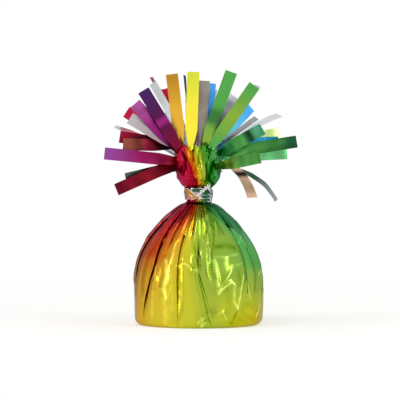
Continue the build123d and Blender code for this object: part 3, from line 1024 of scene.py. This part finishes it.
@dataclass
class FilmNeck:
    """The bunched film through the tie: uneven lobes that flare and close over where the fringe is cut,
    with painted shade in the valleys, creases and sunken facets, and painted highlights on raised facets
    and ridges.

    Rises are heights, and crests are radii, between which a feature comes.
    """

    twist: float = 10.0
    twist_from: float = 74.0
    twist_height: float = 22.0
    rows: int = 110
    columns: int = 400
    valleys: Pairs = (
        (-150, 0.7), (-112, 0.9), (-64, 0.2), (-24, 0.5), (-4, 0.4), (20, 0.6), (46, 0.5), (84, 0.5),
        (122, 0.9), (160, 0.7),
    )
    prints: Pairs = (
        (-180, -60), (-90, -124), (-50, -116), (-6, -110), (-1, -62), (7, -46), (11, -38), (16, -4),
        (28, 16), (34, 40), (60, 56), (100, 84), (180, -60),
    )
    print_drift: float = 1.35
    print_level: float = 76.0
    sheet_way: float = 106.0
    crumple: Crumple = Crumple(17, 12.0, (3.6, 5.6), (74.0, 124.0), 0.85)
    # Each crease's last number is its painted light: above 0 a painted highlight, below 0 painted shade.
    creases: tuple[Crease, ...] = (
        Crease(((-2.6, 97.0), (-2.8, 90.7)), -0.6, 1.5, -0.9),
        Crease(((-6.1, 92.9), (-3.3, 82.4), (-0.6, 76.5)), -0.4, 0.6, -0.5),
        Crease(((-0.1, 86.5), (0.8, 78.7)), 0.3, 1.2, 0.4),
        Crease(((1.7, 85.0), (2.4, 77.8)), -0.3, 0.5, -0.4),
        Crease(((4.6, 88.0), (4.5, 76.9)), -0.5, 1.0, -0.9),
        Crease(((7.6, 89.5), (6.0, 80.5)), -0.5, 2.2, -1.0),
        Crease(((5.6, 80.5), (8.0, 76.5)), -0.4, 1.8, -1.0),
        Crease(((9.1, 92.5), (10.9, 88.0)), 0.4, 0.7, 0.7),
        Crease(((10.4, 83.0), (11.0, 78.7)), 0.3, 1.2, 0.4),
        Crease(((6.8, 80.5), (8.4, 82.0)), 0.3, 0.5, 0.7),
        Crease(((5.6, 92.0), (6.0, 86.0)), 0.3, 0.6, 0.4),
        Crease(((-8.6, 95.5), (-8.8, 90.7)), 0.4, 0.9, 0.8),
        Crease(((-10.2, 83.8), (-8.6, 82.2), (-7.0, 82.8)), 0.3, 0.5, 0.3),
        Crease(((-10.0, 80.6), (-8.8, 78.8)), 0.3, 0.5, 0.25),
        Crease(((-7.4, 91.6), (-7.0, 85.0)), -0.3, 1.2, -0.25),
        Crease(((-10.6, 90.0), (-10.2, 86.0)), -0.3, 0.9, -0.3),
        Crease(((-1.5, 97.5), (-0.8, 94.5)), 0.4, 0.8, 0.9),
        Crease(((0.8, 95.0), (1.3, 90.7), (0.6, 88.0)), 0.4, 0.9, 0.55),
        Crease(((2.8, 96.0), (3.2, 91.0)), -0.2, 0.9, -0.25),
    )
    loose_creases: int = 16
    loose_seed: int = 23
    loose_from: float = 1.2
    loose_reach: Span = (77, 90)
    loose_shading: Span = (-0.6, 0.6)
    loose_turn: float = 0.12
    loose_step: Span = (3, 8)
    loose_height: float = 0.4
    loose_width: float = 0.8
    # Painted shade and painted highlights: deepening darkens the whole neck; the valleys get painted shade,
    # raised facets painted highlights and sunken ones painted shade, where no crease paints more than the
    # plain level.
    deepening: float = 0.14
    valley_shade: float = 0.4
    facet_shading: float = 0.3
    facet_most: float = 0.3
    plain_shading: float = 0.08
    swell_rise: Span = (76, 82)
    swell_crest: Span = (2, 8)
    rim_rise: Span = (86, 98)
    rim_crest: Span = (1, 9)
    rim: Pairs = (
        (-180, -2), (-150, 1), (-120, -2), (-90, -3), (-55, -1), (-36, 1.6), (-20, -2.4), (-8, 1.4),
        (4, 0.4), (14, 1.6), (26, -0.6), (60, -2), (90, -3), (120, 1), (150, -2), (180, -2),
    )
    outline: tuple[tuple[float, float, float], ...] = (
        (66.6, 6.0, 0.8), (70.0, 5.8, 1.0), (75.2, 7.4, 1.2), (77.2, 9.6, 1.8), (80.6, 11.4, 2.2),
        (87.5, 12.7, 2.4), (92.0, 13.5, 2.4), (95.0, 13.8, 2.4), (98.0, 13.6, 2.4), (98.2, 13.0, 2.4),
        (95.4, 11.5, 2.4), (93.0, 8.0, 1.6), (91.6, 4.0, 0.8), (91.0, 0.0, 0.0),
    )
    outer_stops: int = 9
    valley_slope: float = 2.6
    valley_power: float = 1.4
    wobble: float = 0.05
    wobble_pitch: float = 0.42
    piece: Piece = field(init=False)

    def crease_runs(self) -> list[Run]:
        """The listed creases, and loose ones round the back.

        Returns:
            Each crease with its run as azimuths in radians and heights.
        """
        random = np.random.default_rng(self.loose_seed)
        heights, crests, _ = zip(*self.outline[: self.outer_stops])
        runs = []
        for crease in self.creases:
            places = [(show_azimuth(x, float(np.interp(up, heights, crests))), up) for x, up in crease.run]
            runs.append((places, crease))
        for _ in range(self.loose_creases):
            turn = random.uniform(self.loose_from, TURN - self.loose_from)
            up = random.uniform(*self.loose_reach)
            tone = random.choice(self.loose_shading)
            places = [(turn, up)]
            places.append((turn + random.normal(0, self.loose_turn), up + random.uniform(*self.loose_step)))
            runs.append((places, Crease((), self.loose_height * tone, self.loose_width, tone)))
        return runs

    def lobes(self, azimuth: Array) -> Array:
        """How far into a valley each place is.

        Args:
            azimuth: Radians.

        Returns:
            The depth share, 0 on a lobe's crest and 1 in a valley, and the valley's own depth.
        """
        turns, depths = np.array([*self.valleys, self.valleys[0]]).T
        turns[-1] += 360
        places = np.radians(turns)
        turn = np.mod(azimuth - places[0], TURN) + places[0]
        index = np.clip(np.searchsorted(places, turn, side="right") - 1, 0, len(self.valleys) - 1)
        share = (turn - places[index]) / (places[index + 1] - places[index])
        deep = np.clip(1 - self.valley_slope * np.minimum(share, 1 - share), 0, 1) ** self.valley_power
        return np.stack([deep, np.where(share < 0.5, depths[index], depths[index + 1])])

    def build(self) -> Piece:
        """Lays the bunched film and shapes its lobes.

        Returns:
            The finished neck.
        """
        stops = np.array(self.outline)
        way = path_length(stops[:, 0], stops[:, 1])
        fine = np.linspace(0, way[-1], self.rows)[:, None]
        height, crest, depth = (np.interp(fine, way, column) for column in stops.T)
        azimuth = np.linspace(-math.pi, math.pi, self.columns + 1)[None, :]
        turn = azimuth - math.radians(self.twist) * ((height - self.twist_from) / self.twist_height)
        turn = turn + self.wobble * np.sin(height * self.wobble_pitch + 2 * np.sin(3 * azimuth))
        deep, depths = self.lobes(turn)
        azimuths = azimuth + 0 * height
        facets = self.crumple.relief(azimuths, self.crumple.reach[0] + fine + 0 * azimuths)
        reach = np.maximum(crest, 1) + 0 * azimuths
        wrinkle, tone = crease_field(self.crease_runs(), azimuths, height + 0 * azimuths, reach)
        # Painted shade in the valleys and on sunken facets, and painted highlights on raised facets, where
        # no crease paints stronger; then the whole neck a little deeper.
        shaded = tone - self.valley_shade * deep**3 * depths
        shaded += self.facet_shading * np.minimum(facets, self.facet_most)
        tone = np.where(np.abs(tone) > self.plain_shading, tone, shaded) - self.deepening
        swell = smooth(height, *self.swell_rise) * smooth(crest, *self.swell_crest)
        reach = np.maximum(crest - depth * deep * depths + (facets + wrinkle) * swell, 0)
        reach[-1] = 0
        rim = np.interp(np.degrees(azimuth), *zip(*self.rim))
        lift = rim * smooth(height, *self.rim_rise) * smooth(crest, *self.rim_crest)
        points = turned(reach, azimuth, height + lift)
        points[:, -1] = points[:, 0]
        floor = 0 * points[:1] + (0, 0, height[0, 0])
        out = self.sheet_way + np.concatenate([[[0]], fine]) + 0 * azimuth
        drift = self.print_drift * np.concatenate([[[0]], height - self.print_level])
        grid = FilmGrid("film_neck_bunch", np.concatenate([floor, points]))
        grid.map_sheet(np.interp(np.degrees(azimuth) + drift, *zip(*self.prints)), out)
        grid.map_painted_shading(np.concatenate([tone[:1], tone]))
        self.piece = grid.close()
        return self.piece

    def dress(self, film: RainbowFilm) -> None:
        """Gives the neck its film and its place in the frame.

        Args:
            film: The printed film.
        """
        self.piece.data.materials.append(film.material())
        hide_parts("film_neck")
        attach(self.piece, "weight")


@dataclass(frozen=True)
class StripLook:
    """How one strip looks: its colours from root to tip, its bare side, its painted reflection band,
    lighter or darker than the print, and its creases.
    """

    root: Tint
    middle: Tint
    tip: Tint
    bare: Tint = Tint.STEEL
    bare_tip: Tint | None = None
    reflection_band: tuple[float, float, Tint] | None = None
    crumple: float = 0.22
    kink_at: float = 0.6
    kink: float = 0.0
    twist: float = 0.0
    sway: float = 0.0
    root_share: float = 0.55

    @property
    def sides(self) -> dict[str, Stops]:
        """The tints of the printed and the bare side, by places from 0 at the root to 1 at the tip."""
        printed = ((0.1, self.root), (0.52, self.middle), (0.92, self.tip))
        return {PRINT_AND_SHEEN: printed, BARE: ((0.3, self.bare), (0.95, self.bare_tip or self.bare))}

    def colours(self, share: Array, stops: Stops) -> Array:
        """One side's colours, with the painted reflection band over them.

        Args:
            share: Places along the strip, 0 at the root and 1 at the tip.
            stops: The side's tints.

        Returns:
            A linear colour for each place.
        """
        colours = tint_run(share, stops)
        if not self.reflection_band:
            return colours
        # A painted reflection: a lighter or darker stretch across the strip.
        place, width, tint = self.reflection_band
        cover = np.clip(1.5 - np.abs(share - place) / (width / 2), 0, 1)[..., None]
        return colours * (1 - cover) + np.array(tint.linear) * cover


@dataclass
class FringeStrip:
    """One cut strip of the film, laid from the hinge that its root has in the frame."""

    name: str
    look: StripLook
    width: float = 6.6
    film: float = 0.08
    solid_half: float = 0.15
    tongue: float = 3.0
    gather_length: float = 12.5
    kink_share: float = 0.03
    ripples: tuple[float, ...] = (1.3, 2.4, 4.1)
    hollow: float = 0.9
    bow: float = 0.12
    blend_from: float = 2.0
    blend_to: float = 12.0
    gather_power: float = 0.85
    ripple_rise: Span = (3, 14)
    twist_rise: Span = (0.05, 0.45)
    seed_weight: int = 3
    tip_depth: float = 0.5
    least_sag: float = 0.02
    rows: int = 44
    columns: int = 8
    piece: Piece = field(init=False)
    ends: tuple[Array, Array] = field(init=False)

    @property
    def node(self) -> str:
        """The strip's CAD node."""
        return f"fringe_{self.name}"

    @property
    def body(self) -> str:
        """The strip's body."""
        return f"strip_{self.name}"

    def axes(self) -> tuple[Array, Array, Array, float, float]:
        """Reads the strip's place from its hinge and its node.

        Returns:
            Root, unit vectors along and across, chord in millimetres and half the arc's angle.
        """
        root, across = hinge(self.body)
        across /= np.linalg.norm(across)
        mesh = frame["nodes"][self.node].data
        places = np.empty(len(mesh.vertices) * 3)
        mesh.vertices.foreach_get("co", places)
        off = places.reshape(-1, 3) / MM - root
        off -= np.outer(off @ across, across)
        reach = np.linalg.norm(off, axis=1)
        tip = off[reach > reach.max() - self.tip_depth].mean(axis=0)
        chord = float(np.linalg.norm(tip))
        along = tip / chord
        sag = float(np.max(-off @ np.cross(across, along))) - self.solid_half
        return root, along, across, chord, 2 * math.atan(2 * max(sag, self.least_sag) / chord)

    def arc(self, way: Array, length: float, half: float) -> tuple[Array, Array]:
        """The strip's middle line: a straight tongue, an arc, and a kink.

        Args:
            way: Places along it in millimetres, less than 0 on the tongue.
            length: The arc's length.
            half: Half the arc's angle.

        Returns:
            The distance along the chord and the height off it.
        """
        turn = (2 * np.clip(way, 0, None) / length - 1) * half
        radius = length / (2 * half)
        tongue = np.minimum(way, 0)
        run = radius * (np.sin(turn) + math.sin(half)) + tongue * math.cos(half)
        fall = -radius * (np.cos(turn) - math.cos(half)) - tongue * math.sin(half)
        place = self.look.kink_at
        kink = smooth(way / length, place - self.kink_share, place + self.kink_share)
        bend = math.radians(self.look.kink) * kink
        past = np.clip(way - place * length, 0, None)
        return run - past * (1 - np.cos(bend)), fall + past * np.sin(bend)

    def build(self) -> Piece:
        """Lays the strip along its arc.

        Returns:
            The finished strip.
        """
        look = self.look
        root, along, across, chord, half = self.axes()
        normal = np.cross(across, along)
        seed = sum(ord(letter) * weight for weight, letter in enumerate(self.name, self.seed_weight))
        random = np.random.default_rng(seed)
        length = chord * half / math.sin(half)
        way = np.linspace(-self.tongue, length, self.rows + 1)[:, None]
        side = np.linspace(-1, 1, self.columns + 1)[None, :]
        share = way / length + 0 * side
        run, fall = self.arc(way, length, half)
        gather = np.clip(way / self.gather_length, 0, 1) ** self.gather_power
        wide = self.width / 2 * (look.root_share + (1 - look.root_share) * gather)
        ripple = 0 * share
        for order in self.ripples:
            lean, phase = random.uniform(-0.8, 0.8), random.uniform(0, 6)
            ripple += np.sin(share * order * TURN + lean * side + phase) / order
        ripple *= look.crumple * smooth(way, *self.ripple_rise)
        hollow = -self.hollow * (1 - gather) * (1 - np.abs(side))
        off = fall + ripple + hollow + self.bow * random.uniform(-1, 1) * (1 - side**2)
        lean = math.radians(look.twist) * smooth(share, *self.twist_rise)
        sideways = wide * side * np.cos(lean) + look.sway * np.clip(share, 0, 1) ** 2
        off = off + wide * side * np.sin(lean)
        run = run + 0 * side
        points = root + run[..., None] * along + off[..., None] * normal + sideways[..., None] * across
        grid = FilmGrid(f"strip_{self.name}_film", points)
        for colour, stops in look.sides.items():
            grid.map_tints(colour, look.colours(share, stops))
        self.piece = grid.close()
        self.ends = (root - along * self.blend_from, root + along * self.blend_to)
        return self.piece

    def dress(self, printed: Material, bare: Material) -> None:
        """Gives the strip its two sides and its thickness.

        Args:
            printed: The printed side's material.
            bare: The bare side's material.
        """
        self.piece.data.materials.append(printed)
        self.piece.data.materials.append(bare)
        select_only(self.piece)
        thicken(self.piece, self.film, 1)
        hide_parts(self.node)
        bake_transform(self.piece)


# A strip's reflection band is a painted reflection, lighter or darker than its print.
STRIP_LOOKS: dict[str, tuple[StripLook, ...]] = {
    "front": (
        StripLook(Tint.YELLOW, Tint.YELLOW, Tint.LEMON, root_share=0.16),
        StripLook(Tint.HONEY, Tint.HONEY, Tint.AMBER, root_share=0.2),
        StripLook(Tint.LEAF, Tint.GRASS, Tint.GRASS, reflection_band=(0.42, 0.2, Tint.FERN), root_share=0.3),
        StripLook(Tint.GRASS, Tint.LEAF, Tint.GRASS, root_share=0.35),
        StripLook(Tint.WINE, Tint.PLUM, Tint.PURPLE, reflection_band=(0.5, 0.1, Tint.MAGENTA), root_share=0.4),
        StripLook(Tint.GOLD, Tint.GOLD, Tint.AMBER, Tint.TAUPE, root_share=0.2),
        StripLook(Tint.INK, Tint.INK, Tint.INK, Tint.INK, twist=10, kink_at=0.1, kink=3, root_share=0.3),
    ),
    "left": (
        StripLook(Tint.PLUM, Tint.MAGENTA, Tint.ORCHID, kink_at=0.5, kink=6),
        StripLook(Tint.MAGENTA, Tint.MAGENTA, Tint.ORCHID, Tint.MAUVE, Tint.ASH),
        StripLook(Tint.WINE, Tint.INK, Tint.CRIMSON),
        StripLook(Tint.INK, Tint.WINE, Tint.COPPER),
        StripLook(Tint.ROSE, Tint.ASH, Tint.FROST, Tint.FROST, twist=14),
        StripLook(Tint.CRIMSON, Tint.CRIMSON, Tint.CRIMSON),
        StripLook(Tint.CRIMSON, Tint.ROSE, Tint.ROSE, Tint.ROSE),
        StripLook(Tint.CRIMSON, Tint.ROSE, Tint.ROSE, Tint.FROST, twist=50),
        StripLook(Tint.CRIMSON, Tint.CRIMSON, Tint.CRIMSON),
        StripLook(Tint.WINE, Tint.BERRY, Tint.LILAC),
        StripLook(Tint.WINE, Tint.MAROON, Tint.WINE),
        StripLook(Tint.WINE, Tint.WINE, Tint.CRIMSON, Tint.SLATE),
    ),
    "right": (
        StripLook(Tint.AQUA, Tint.BLUE, Tint.SKY, sway=-1.6),
        StripLook(Tint.GREEN, Tint.SEA, Tint.SEA, Tint.SLATE, Tint.STEEL, crumple=0.4, sway=5),
        StripLook(Tint.SEA, Tint.SLATE, Tint.PALE, Tint.PALE, twist=-16),
        StripLook(Tint.BLUE, Tint.AQUA, Tint.SKY, sway=-2),
        StripLook(Tint.PINE, Tint.STEEL, Tint.PALE, Tint.STEEL, twist=-18),
        StripLook(Tint.BLUE, Tint.PALE, Tint.FROST, Tint.FROST, twist=-18),
        StripLook(Tint.GREEN, Tint.GRASS, Tint.SEA, reflection_band=(0.62, 0.16, Tint.PINE), kink_at=0.6, kink=8),
        StripLook(Tint.GRASS, Tint.LEAF, Tint.PALE_LIME),
        StripLook(Tint.BLUE, Tint.TEAL, Tint.TEAL),
        StripLook(Tint.GRASS, Tint.GRASS, Tint.PINE),
        StripLook(Tint.GREEN, Tint.JADE, Tint.JADE),
        StripLook(Tint.LEAF, Tint.GRASS, Tint.GRASS),
        StripLook(Tint.TAN, Tint.TAN, Tint.TAN, Tint.TAN, reflection_band=(0.48, 0.16, Tint.INK)),
        StripLook(Tint.PINE, Tint.PINE, Tint.STEEL, Tint.SLATE, Tint.STEEL, twist=20),
    ),
    "back": (
        StripLook(Tint.BLUE, Tint.SKY, Tint.AQUA),
        StripLook(Tint.PURPLE, Tint.VIOLET, Tint.ORCHID),
        StripLook(Tint.BLUE, Tint.SKY, Tint.SKY),
        StripLook(Tint.PURPLE, Tint.PURPLE, Tint.VIOLET),
        StripLook(Tint.BLUE, Tint.BLUE, Tint.VIOLET),
        StripLook(Tint.PLUM, Tint.MAGENTA, Tint.ORCHID),
        StripLook(Tint.GREEN, Tint.SEA, Tint.AQUA),
        StripLook(Tint.VIOLET, Tint.PURPLE, Tint.VIOLET),
        StripLook(Tint.WINE, Tint.CRIMSON, Tint.MAGENTA),
        StripLook(Tint.PINE, Tint.GREEN, Tint.SEA),
        StripLook(Tint.WINE, Tint.CRIMSON, Tint.MAGENTA),
        StripLook(Tint.PINE, Tint.GREEN, Tint.SEA),
        StripLook(Tint.WINE, Tint.CRIMSON, Tint.ROSE),
    ),
}


@dataclass
class Fringe:
    """The fan of cut strips over the neck."""

    strips: list[FringeStrip] = field(default_factory=list)

    def build(self) -> None:
        """Lays and dresses every strip that the frame has."""
        # Both sides show the strips' painted reflection bands over their own colours.
        printed = StripFilm("strip_print", PRINT_AND_SHEEN).material()
        bare = StripFilm("strip_bare", BARE).material()
        for node in sorted(name for name in frame["nodes"] if name.startswith("fringe_")):
            name = node.removeprefix("fringe_")
            side, number = name.split("_")
            strip = FringeStrip(name, STRIP_LOOKS[side][int(number) - 1])
            strip.build()
            strip.dress(printed, bare)
            self.strips.append(strip)
            LOG.info("fringe strip %s laid", name)


@dataclass
class WireTie:
    """The metallised tie: two flat turns round the neck, and its two ends twisted together, coloured with
    painted reflections and painted highlights.
    """

    radius: float = 7.0
    ribbon: float = 4.2
    film: float = 0.3
    turns: float = 2.1
    pitch: float = 1.9
    pitch_share: float = 0.98
    build_up: float = 0.9
    bow: float = 0.3
    middle_z: float = 71.7
    second_shift: float = 0.9
    # Where the painted highlight along the ribbon's edges begins and ends across it.
    highlight_share: Span = (0.7, 1.0)
    edge_waves: tuple[tuple[float, float, float], ...] = ((0.18, 13, 1.0), (0.12, 31, 0.0))
    start: float = 20.0
    ribbon_columns: int = 260
    ribbon_rows: int = 10
    crinkle: Crumple = Crumple(31, 7.5, (3.4, 2.6), (-4.0, 4.0), 0.14)
    # Painted reflections round the ribbon, by the way each place faces.
    glints: Stops = (
        (-180, Tint.STEEL), (-110, Tint.SILVER), (-84, Tint.MILK), (-70, Tint.SLATE), (-56, Tint.ROSE),
        (-46, Tint.AMBER), (-34, Tint.GOLD), (-24, Tint.WINE), (-16, Tint.GOLD), (-8, Tint.MILK),
        (4, Tint.SLATE), (16, Tint.PINE), (44, Tint.PINE), (54, Tint.INK), (64, Tint.MILK),
        (76, Tint.SLATE), (90, Tint.STEEL), (180, Tint.STEEL),
    )
    # Painted spiral highlights along the twisted tail.
    twist: Stops = ((0.0, Tint.TAUPE), (0.2, Tint.ASH), (0.55, Tint.MILK))
    strand: float = 0.62
    strand_gap: float = 0.62
    strand_length: float = 11.5
    strand_turns: float = 2.6
    strand_root: float = 0.08
    strand_taper: float = 60.0
    strand_flat: float = 0.75
    strand_oval: float = 0.45
    strand_splay: Span = (0.8, 1.0)
    strand_steps: int = 80
    strand_sides: int = 12
    winding: Piece = field(init=False)
    tail: Piece = field(init=False)

    def build_winding(self) -> Piece:
        """Winds the flat ribbon round the neck, crinkled and a little bowed, with painted reflections by
        the way each place faces and painted highlights along its edges.

        Returns:
            The finished winding.
        """
        share = np.linspace(0, 1, self.ribbon_columns + 1)[None, :]
        side = np.linspace(-1, 1, self.ribbon_rows + 1)[:, None]
        turn = math.radians(self.start) + share * self.turns * TURN + 0 * side
        second = share * self.turns > 1
        crinkle = self.crinkle.relief(turn + self.second_shift * second, side * 2 + 0 * turn)
        reach = self.radius + self.build_up * share + self.bow * (1 - side**2) + crinkle
        edge = sum(size * np.sin(turn * order + phase) for size, order, phase in self.edge_waves)
        climb = (share - 0.5) * self.pitch * self.turns * self.pitch_share
        up = self.middle_z + climb + side * (self.ribbon / 2 + edge)
        # Painted reflections by the way each place faces, and painted highlights along the edges.
        lean = np.degrees(turn + 0.25 * side + 1.2 * crinkle + 0.15 * second)
        tints = tint_run(np.mod(lean + 180, 360) - 180, self.glints)
        edges = (smooth(np.abs(side), *self.highlight_share) * (0.6 + 0.4 * np.sin(turn * 9)))[:, :, None]
        grid = FilmGrid("tie_winding", turned(reach, turn, up))
        grid.map_tints(PRINT_AND_SHEEN, tints * (1 - edges) + np.array(Tint.MILK.linear) * edges)
        self.winding = grid.close()
        thicken(self.winding, self.film, 0)
        return self.winding

    def build_tail(self) -> Piece:
        """Twists the tie's two ends together in front of the winding, with painted spiral highlights.

        Returns:
            The finished tail.
        """
        root, across = hinge("tail")
        low, high = (np.array(corner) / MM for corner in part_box("tie_tail"))
        along = (high + low) / 2 - root
        along /= np.linalg.norm(along)
        up = np.cross(along, across)
        share = np.linspace(-self.strand_root, 1, self.strand_steps + 1)[:, None]
        ring = np.linspace(0, TURN, self.strand_sides + 1)[None, :]
        gap = self.strand_gap * (1 + 0.5 * smooth(share, *self.strand_splay))
        end = np.minimum(share + self.strand_root, 1 - share)
        wall = self.strand * np.clip(end * self.strand_taper, 0, 1)
        run = share * self.strand_length + 0 * ring
        strands = []
        for index in range(2):
            turn = share * self.strand_turns * TURN + index * math.pi
            flat = np.cos(ring) * (self.strand_flat + self.strand_oval * np.cos(turn))
            tall = np.sin(ring) + self.strand_oval * np.sin(turn) * np.cos(ring)
            sideways, rise = gap * np.cos(turn) + wall * flat, gap * np.sin(turn) + wall * tall
            points = root + run[..., None] * along + sideways[..., None] * across + rise[..., None] * up
            points[:, -1] = points[:, 0]
            grid = FilmGrid(f"tie_tail_strand_{index + 1}", points)
            # Painted spiral highlights that follow the twist.
            grid.map_tints(PRINT_AND_SHEEN, tint_run(0.5 + 0.5 * np.cos(2 * ring + 2 * turn + 0.8), self.twist))
            strands.append(grid.close(turn_over=True))
        select_only(*strands)
        bpy.ops.object.join()
        self.tail = strands[0]
        self.tail.name = "tie_tail_twist"
        return self.tail

    def dress(self, foil: StripFilm) -> None:
        """Gives the tie its foil, with its painted reflections and highlights, and its places in the frame.

        Args:
            foil: The metallised foil, which shows the tie's painted reflections and painted highlights.
        """
        material = foil.material()
        for piece, node, body in ((self.winding, "tie_wrap", "weight"), (self.tail, "tie_tail", "tail")):
            piece.data.materials.clear()
            piece.data.materials.append(material)
            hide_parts(node)
            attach(piece, body)


@dataclass
class Filling:
    """The moulded tub, its lid and the sand, which stay as their solids."""

    plastic: GrainedFill = GrainedFill(
        "tub_plastic", Tint.MILK, Tint.FLOOR, 240, Surface((0.42, 0.55), 0.05, 0.6)
    )
    sand: GrainedFill = GrainedFill(
        "loose_sand", Tint.SAND, Tint.SAND_DARK, 1400, Surface((0.8, 0.95), 0.4, 0.6)
    )

    def dress(self) -> None:
        """Gives the three solids their materials."""
        plastic, sand = self.plastic.material(), self.sand.material()
        for node, material in (("weight_tub", plastic), ("tub_lid", plastic), ("sand_fill", sand)):
            mesh = frame["nodes"][node].data
            mesh.materials.clear()
            mesh.materials.append(material)


@dataclass(frozen=True)
class Card:
    """A grey card that only gloss sees: its azimuth, its span in degrees, its height and its distance."""

    azimuth: float
    span: float
    height: float
    distance: float = 0.22


@dataclass(frozen=True)
class Lamp:
    """A soft lamp that faces the object: its name, place, width and height, and power in watts."""

    name: str
    place: tuple[float, float, float]
    size: Span
    power: float


@dataclass
class Studio:
    """Pale floor, soft lamps, grey cards for the gloss, and the camera of the photograph."""

    target: tuple[float, float, float] = (0.00083, 0.0, 0.0686)
    distance: float = 2.5
    elevation: float = 2.5
    lens: float = 409.0
    sensor: float = 36.0
    view_depth: float = 20.0
    surround_light: Span = (0.55, 1.0)
    floor_size: float = 8.0
    floor_roughness: float = 0.9
    floor_glow: float = 0.4
    floor_fade: Span = (0.12, 0.5)
    cards: tuple[Card, ...] = (
        Card(-152, 34, 0.22),
        Card(-108, 16, 0.2),
        Card(-76, 8, 0.2),
        Card(-38, 8, 0.2),
        Card(12, 18, 0.25, 0.6),
        Card(52, 8, 0.2),
        Card(108, 16, 0.2),
        Card(152, 34, 0.22),
    )
    lamps: tuple[Lamp, ...] = (
        Lamp("key_lamp", (-0.85, -0.53, 0.3), (0.07, 0.6), 1.4),
        Lamp("side_lamp", (0.7, -0.62, 0.35), (0.06, 0.6), 1.0),
        Lamp("top_lamp", (-0.2, -0.3, 1.2), (0.3, 0.3), 1.0),
    )

    def light_path(self, owner: Shaded) -> Socket:
        """A socket that is 1 for what the camera, gloss or glass sees directly.

        Args:
            owner: The material or world whose nodes get it.

        Returns:
            The socket.
        """
        rays = add_node(owner, "LightPath", {}).outputs
        seen = rays["Is Camera Ray"]
        for name in ("Is Glossy Ray", "Is Transmission Ray"):
            seen = add_node(owner, "Math", {0: seen, 1: rays[name]}, operation="MAXIMUM").outputs["Value"]
        return seen

    def build_world(self) -> None:
        """Sets a white surround and a plain level of light."""
        world = bpy.data.worlds.new("studio")
        bpy.context.scene.world = world
        world.use_nodes = True
        light = add_range(world, self.light_path(world), (0.0, 1.0), self.surround_light)
        background = world.node_tree.nodes["Background"]
        fill(world, background, {"Color": Tint.WHITE.linear, "Strength": light})

    def build_floor(self) -> None:
        """Lays the pale floor, which keeps the object's shadow and fades to the white surround."""
        select_only()
        bpy.ops.mesh.primitive_plane_add(size=self.floor_size)
        floor = bpy.context.object
        floor.name = "floor"
        material, shader = new_material("pale_floor")
        glow = add_range(material, self.light_path(material), (0.0, 1.0), (0.0, self.floor_glow))
        pale = {
            "Base Color": Tint.FLOOR.linear,
            "Roughness": self.floor_roughness,
            "Specular IOR Level": 0.0,
            "Emission Color": Tint.WHITE.linear,
            "Emission Strength": glow,
        }
        fill(material, shader, pale)
        surround = add_node(material, "Emission", {"Color": Tint.WHITE.linear}).outputs["Emission"]
        place = add_node(material, "TexCoord", {}).outputs["Object"]
        far = add_node(material, "VectorMath", {0: place}, operation="LENGTH").outputs["Value"]
        fade = add_range(material, far, self.floor_fade, (0.0, 1.0), interpolation_type="SMOOTHSTEP")
        blend = add_node(material, "MixShader", {"Fac": fade, 1: shader.outputs["BSDF"], 2: surround})
        output = material.node_tree.nodes["Material Output"]
        fill(material, output, {"Surface": blend.outputs["Shader"]})
        floor.data.materials.append(material)

    def build_cards(self) -> None:
        """Stands the cards round the set."""
        material, shader = new_material("grey_card")
        grey = {"Emission Color": Tint.CARD.linear, "Emission Strength": 1.0}
        fill(material, shader, {"Base Color": Tint.INK.linear, "Roughness": 1.0, **grey})
        for index, card in enumerate(self.cards):
            select_only()
            turn = math.radians(card.azimuth)
            place = (card.distance * math.sin(turn), -card.distance * math.cos(turn), card.height / 2)
            bpy.ops.mesh.primitive_plane_add(size=1, location=place, rotation=(math.pi / 2, 0, turn))
            sheet = bpy.context.object
            sheet.name = f"card_{index + 1}"
            sheet.scale = (2 * card.distance * math.tan(math.radians(card.span) / 2), card.height, 1)
            sheet.data.materials.append(material)
            sheet.visible_camera = False
            sheet.visible_diffuse = False
            sheet.visible_shadow = False

    def facing(self, place: Vector) -> tuple[float, float, float]:
        """The turn that faces the object from a place."""
        return (Vector(self.target) - place).to_track_quat("-Z", "Y").to_euler()

    def build_lamps(self) -> None:
        """Hangs the soft lamps."""
        for lamp in self.lamps:
            bpy.ops.object.light_add(type="AREA", location=lamp.place)
            light = bpy.context.object
            light.name = lamp.name
            light.data.shape = "RECTANGLE"
            light.data.size, light.data.size_y = lamp.size
            light.data.energy = lamp.power
            light.rotation_euler = self.facing(Vector(lamp.place))

    def build_camera(self) -> None:
        """Sets the camera at the photograph's angle."""
        tilt = math.radians(self.elevation)
        place = Vector(self.target) + self.distance * Vector((0, -math.cos(tilt), math.sin(tilt)))
        bpy.ops.object.camera_add(location=place)
        camera = bpy.context.object
        camera.data.lens = self.lens
        camera.data.sensor_width = self.sensor
        camera.data.clip_end = self.view_depth
        camera.rotation_euler = self.facing(place)
        bpy.context.scene.camera = camera

    def build(self) -> None:
        """Builds the whole set."""
        self.build_world()
        self.build_floor()
        self.build_cards()
        self.build_lamps()
        self.build_camera()
        bpy.context.scene.view_settings.view_transform = "Standard"


def main() -> None:
    """Builds the pieces in order, dresses them and sets the studio."""
    logging.basicConfig(level=logging.INFO, format="%(name)s: %(message)s")
    wrap = FilmWrap()
    wrap.build()
    wrap.dress(RainbowFilm("rainbow_wrap", RAINBOW))
    LOG.info("film wrap laid in %d pleats", len(wrap.pleats))
    neck = FilmNeck()
    neck.build()
    neck.dress(RainbowFilm("rainbow_neck", RAINBOW, gloss=(0.2, 0.3), crinkle=0.03))
    LOG.info("film neck bunched")
    fringe = Fringe()
    fringe.build()
    tie = WireTie()
    tie.build_winding()
    tie.build_tail()
    tie.dress(StripFilm("tie_foil", PRINT_AND_SHEEN, gloss=(0.12, 0.22), crinkle=0.05))
    LOG.info("tie wound and twisted")
    Filling().dress()
    LOG.info("tub, lid and sand dressed")
    Studio().build()


if __name__ == "__main__":
    main()
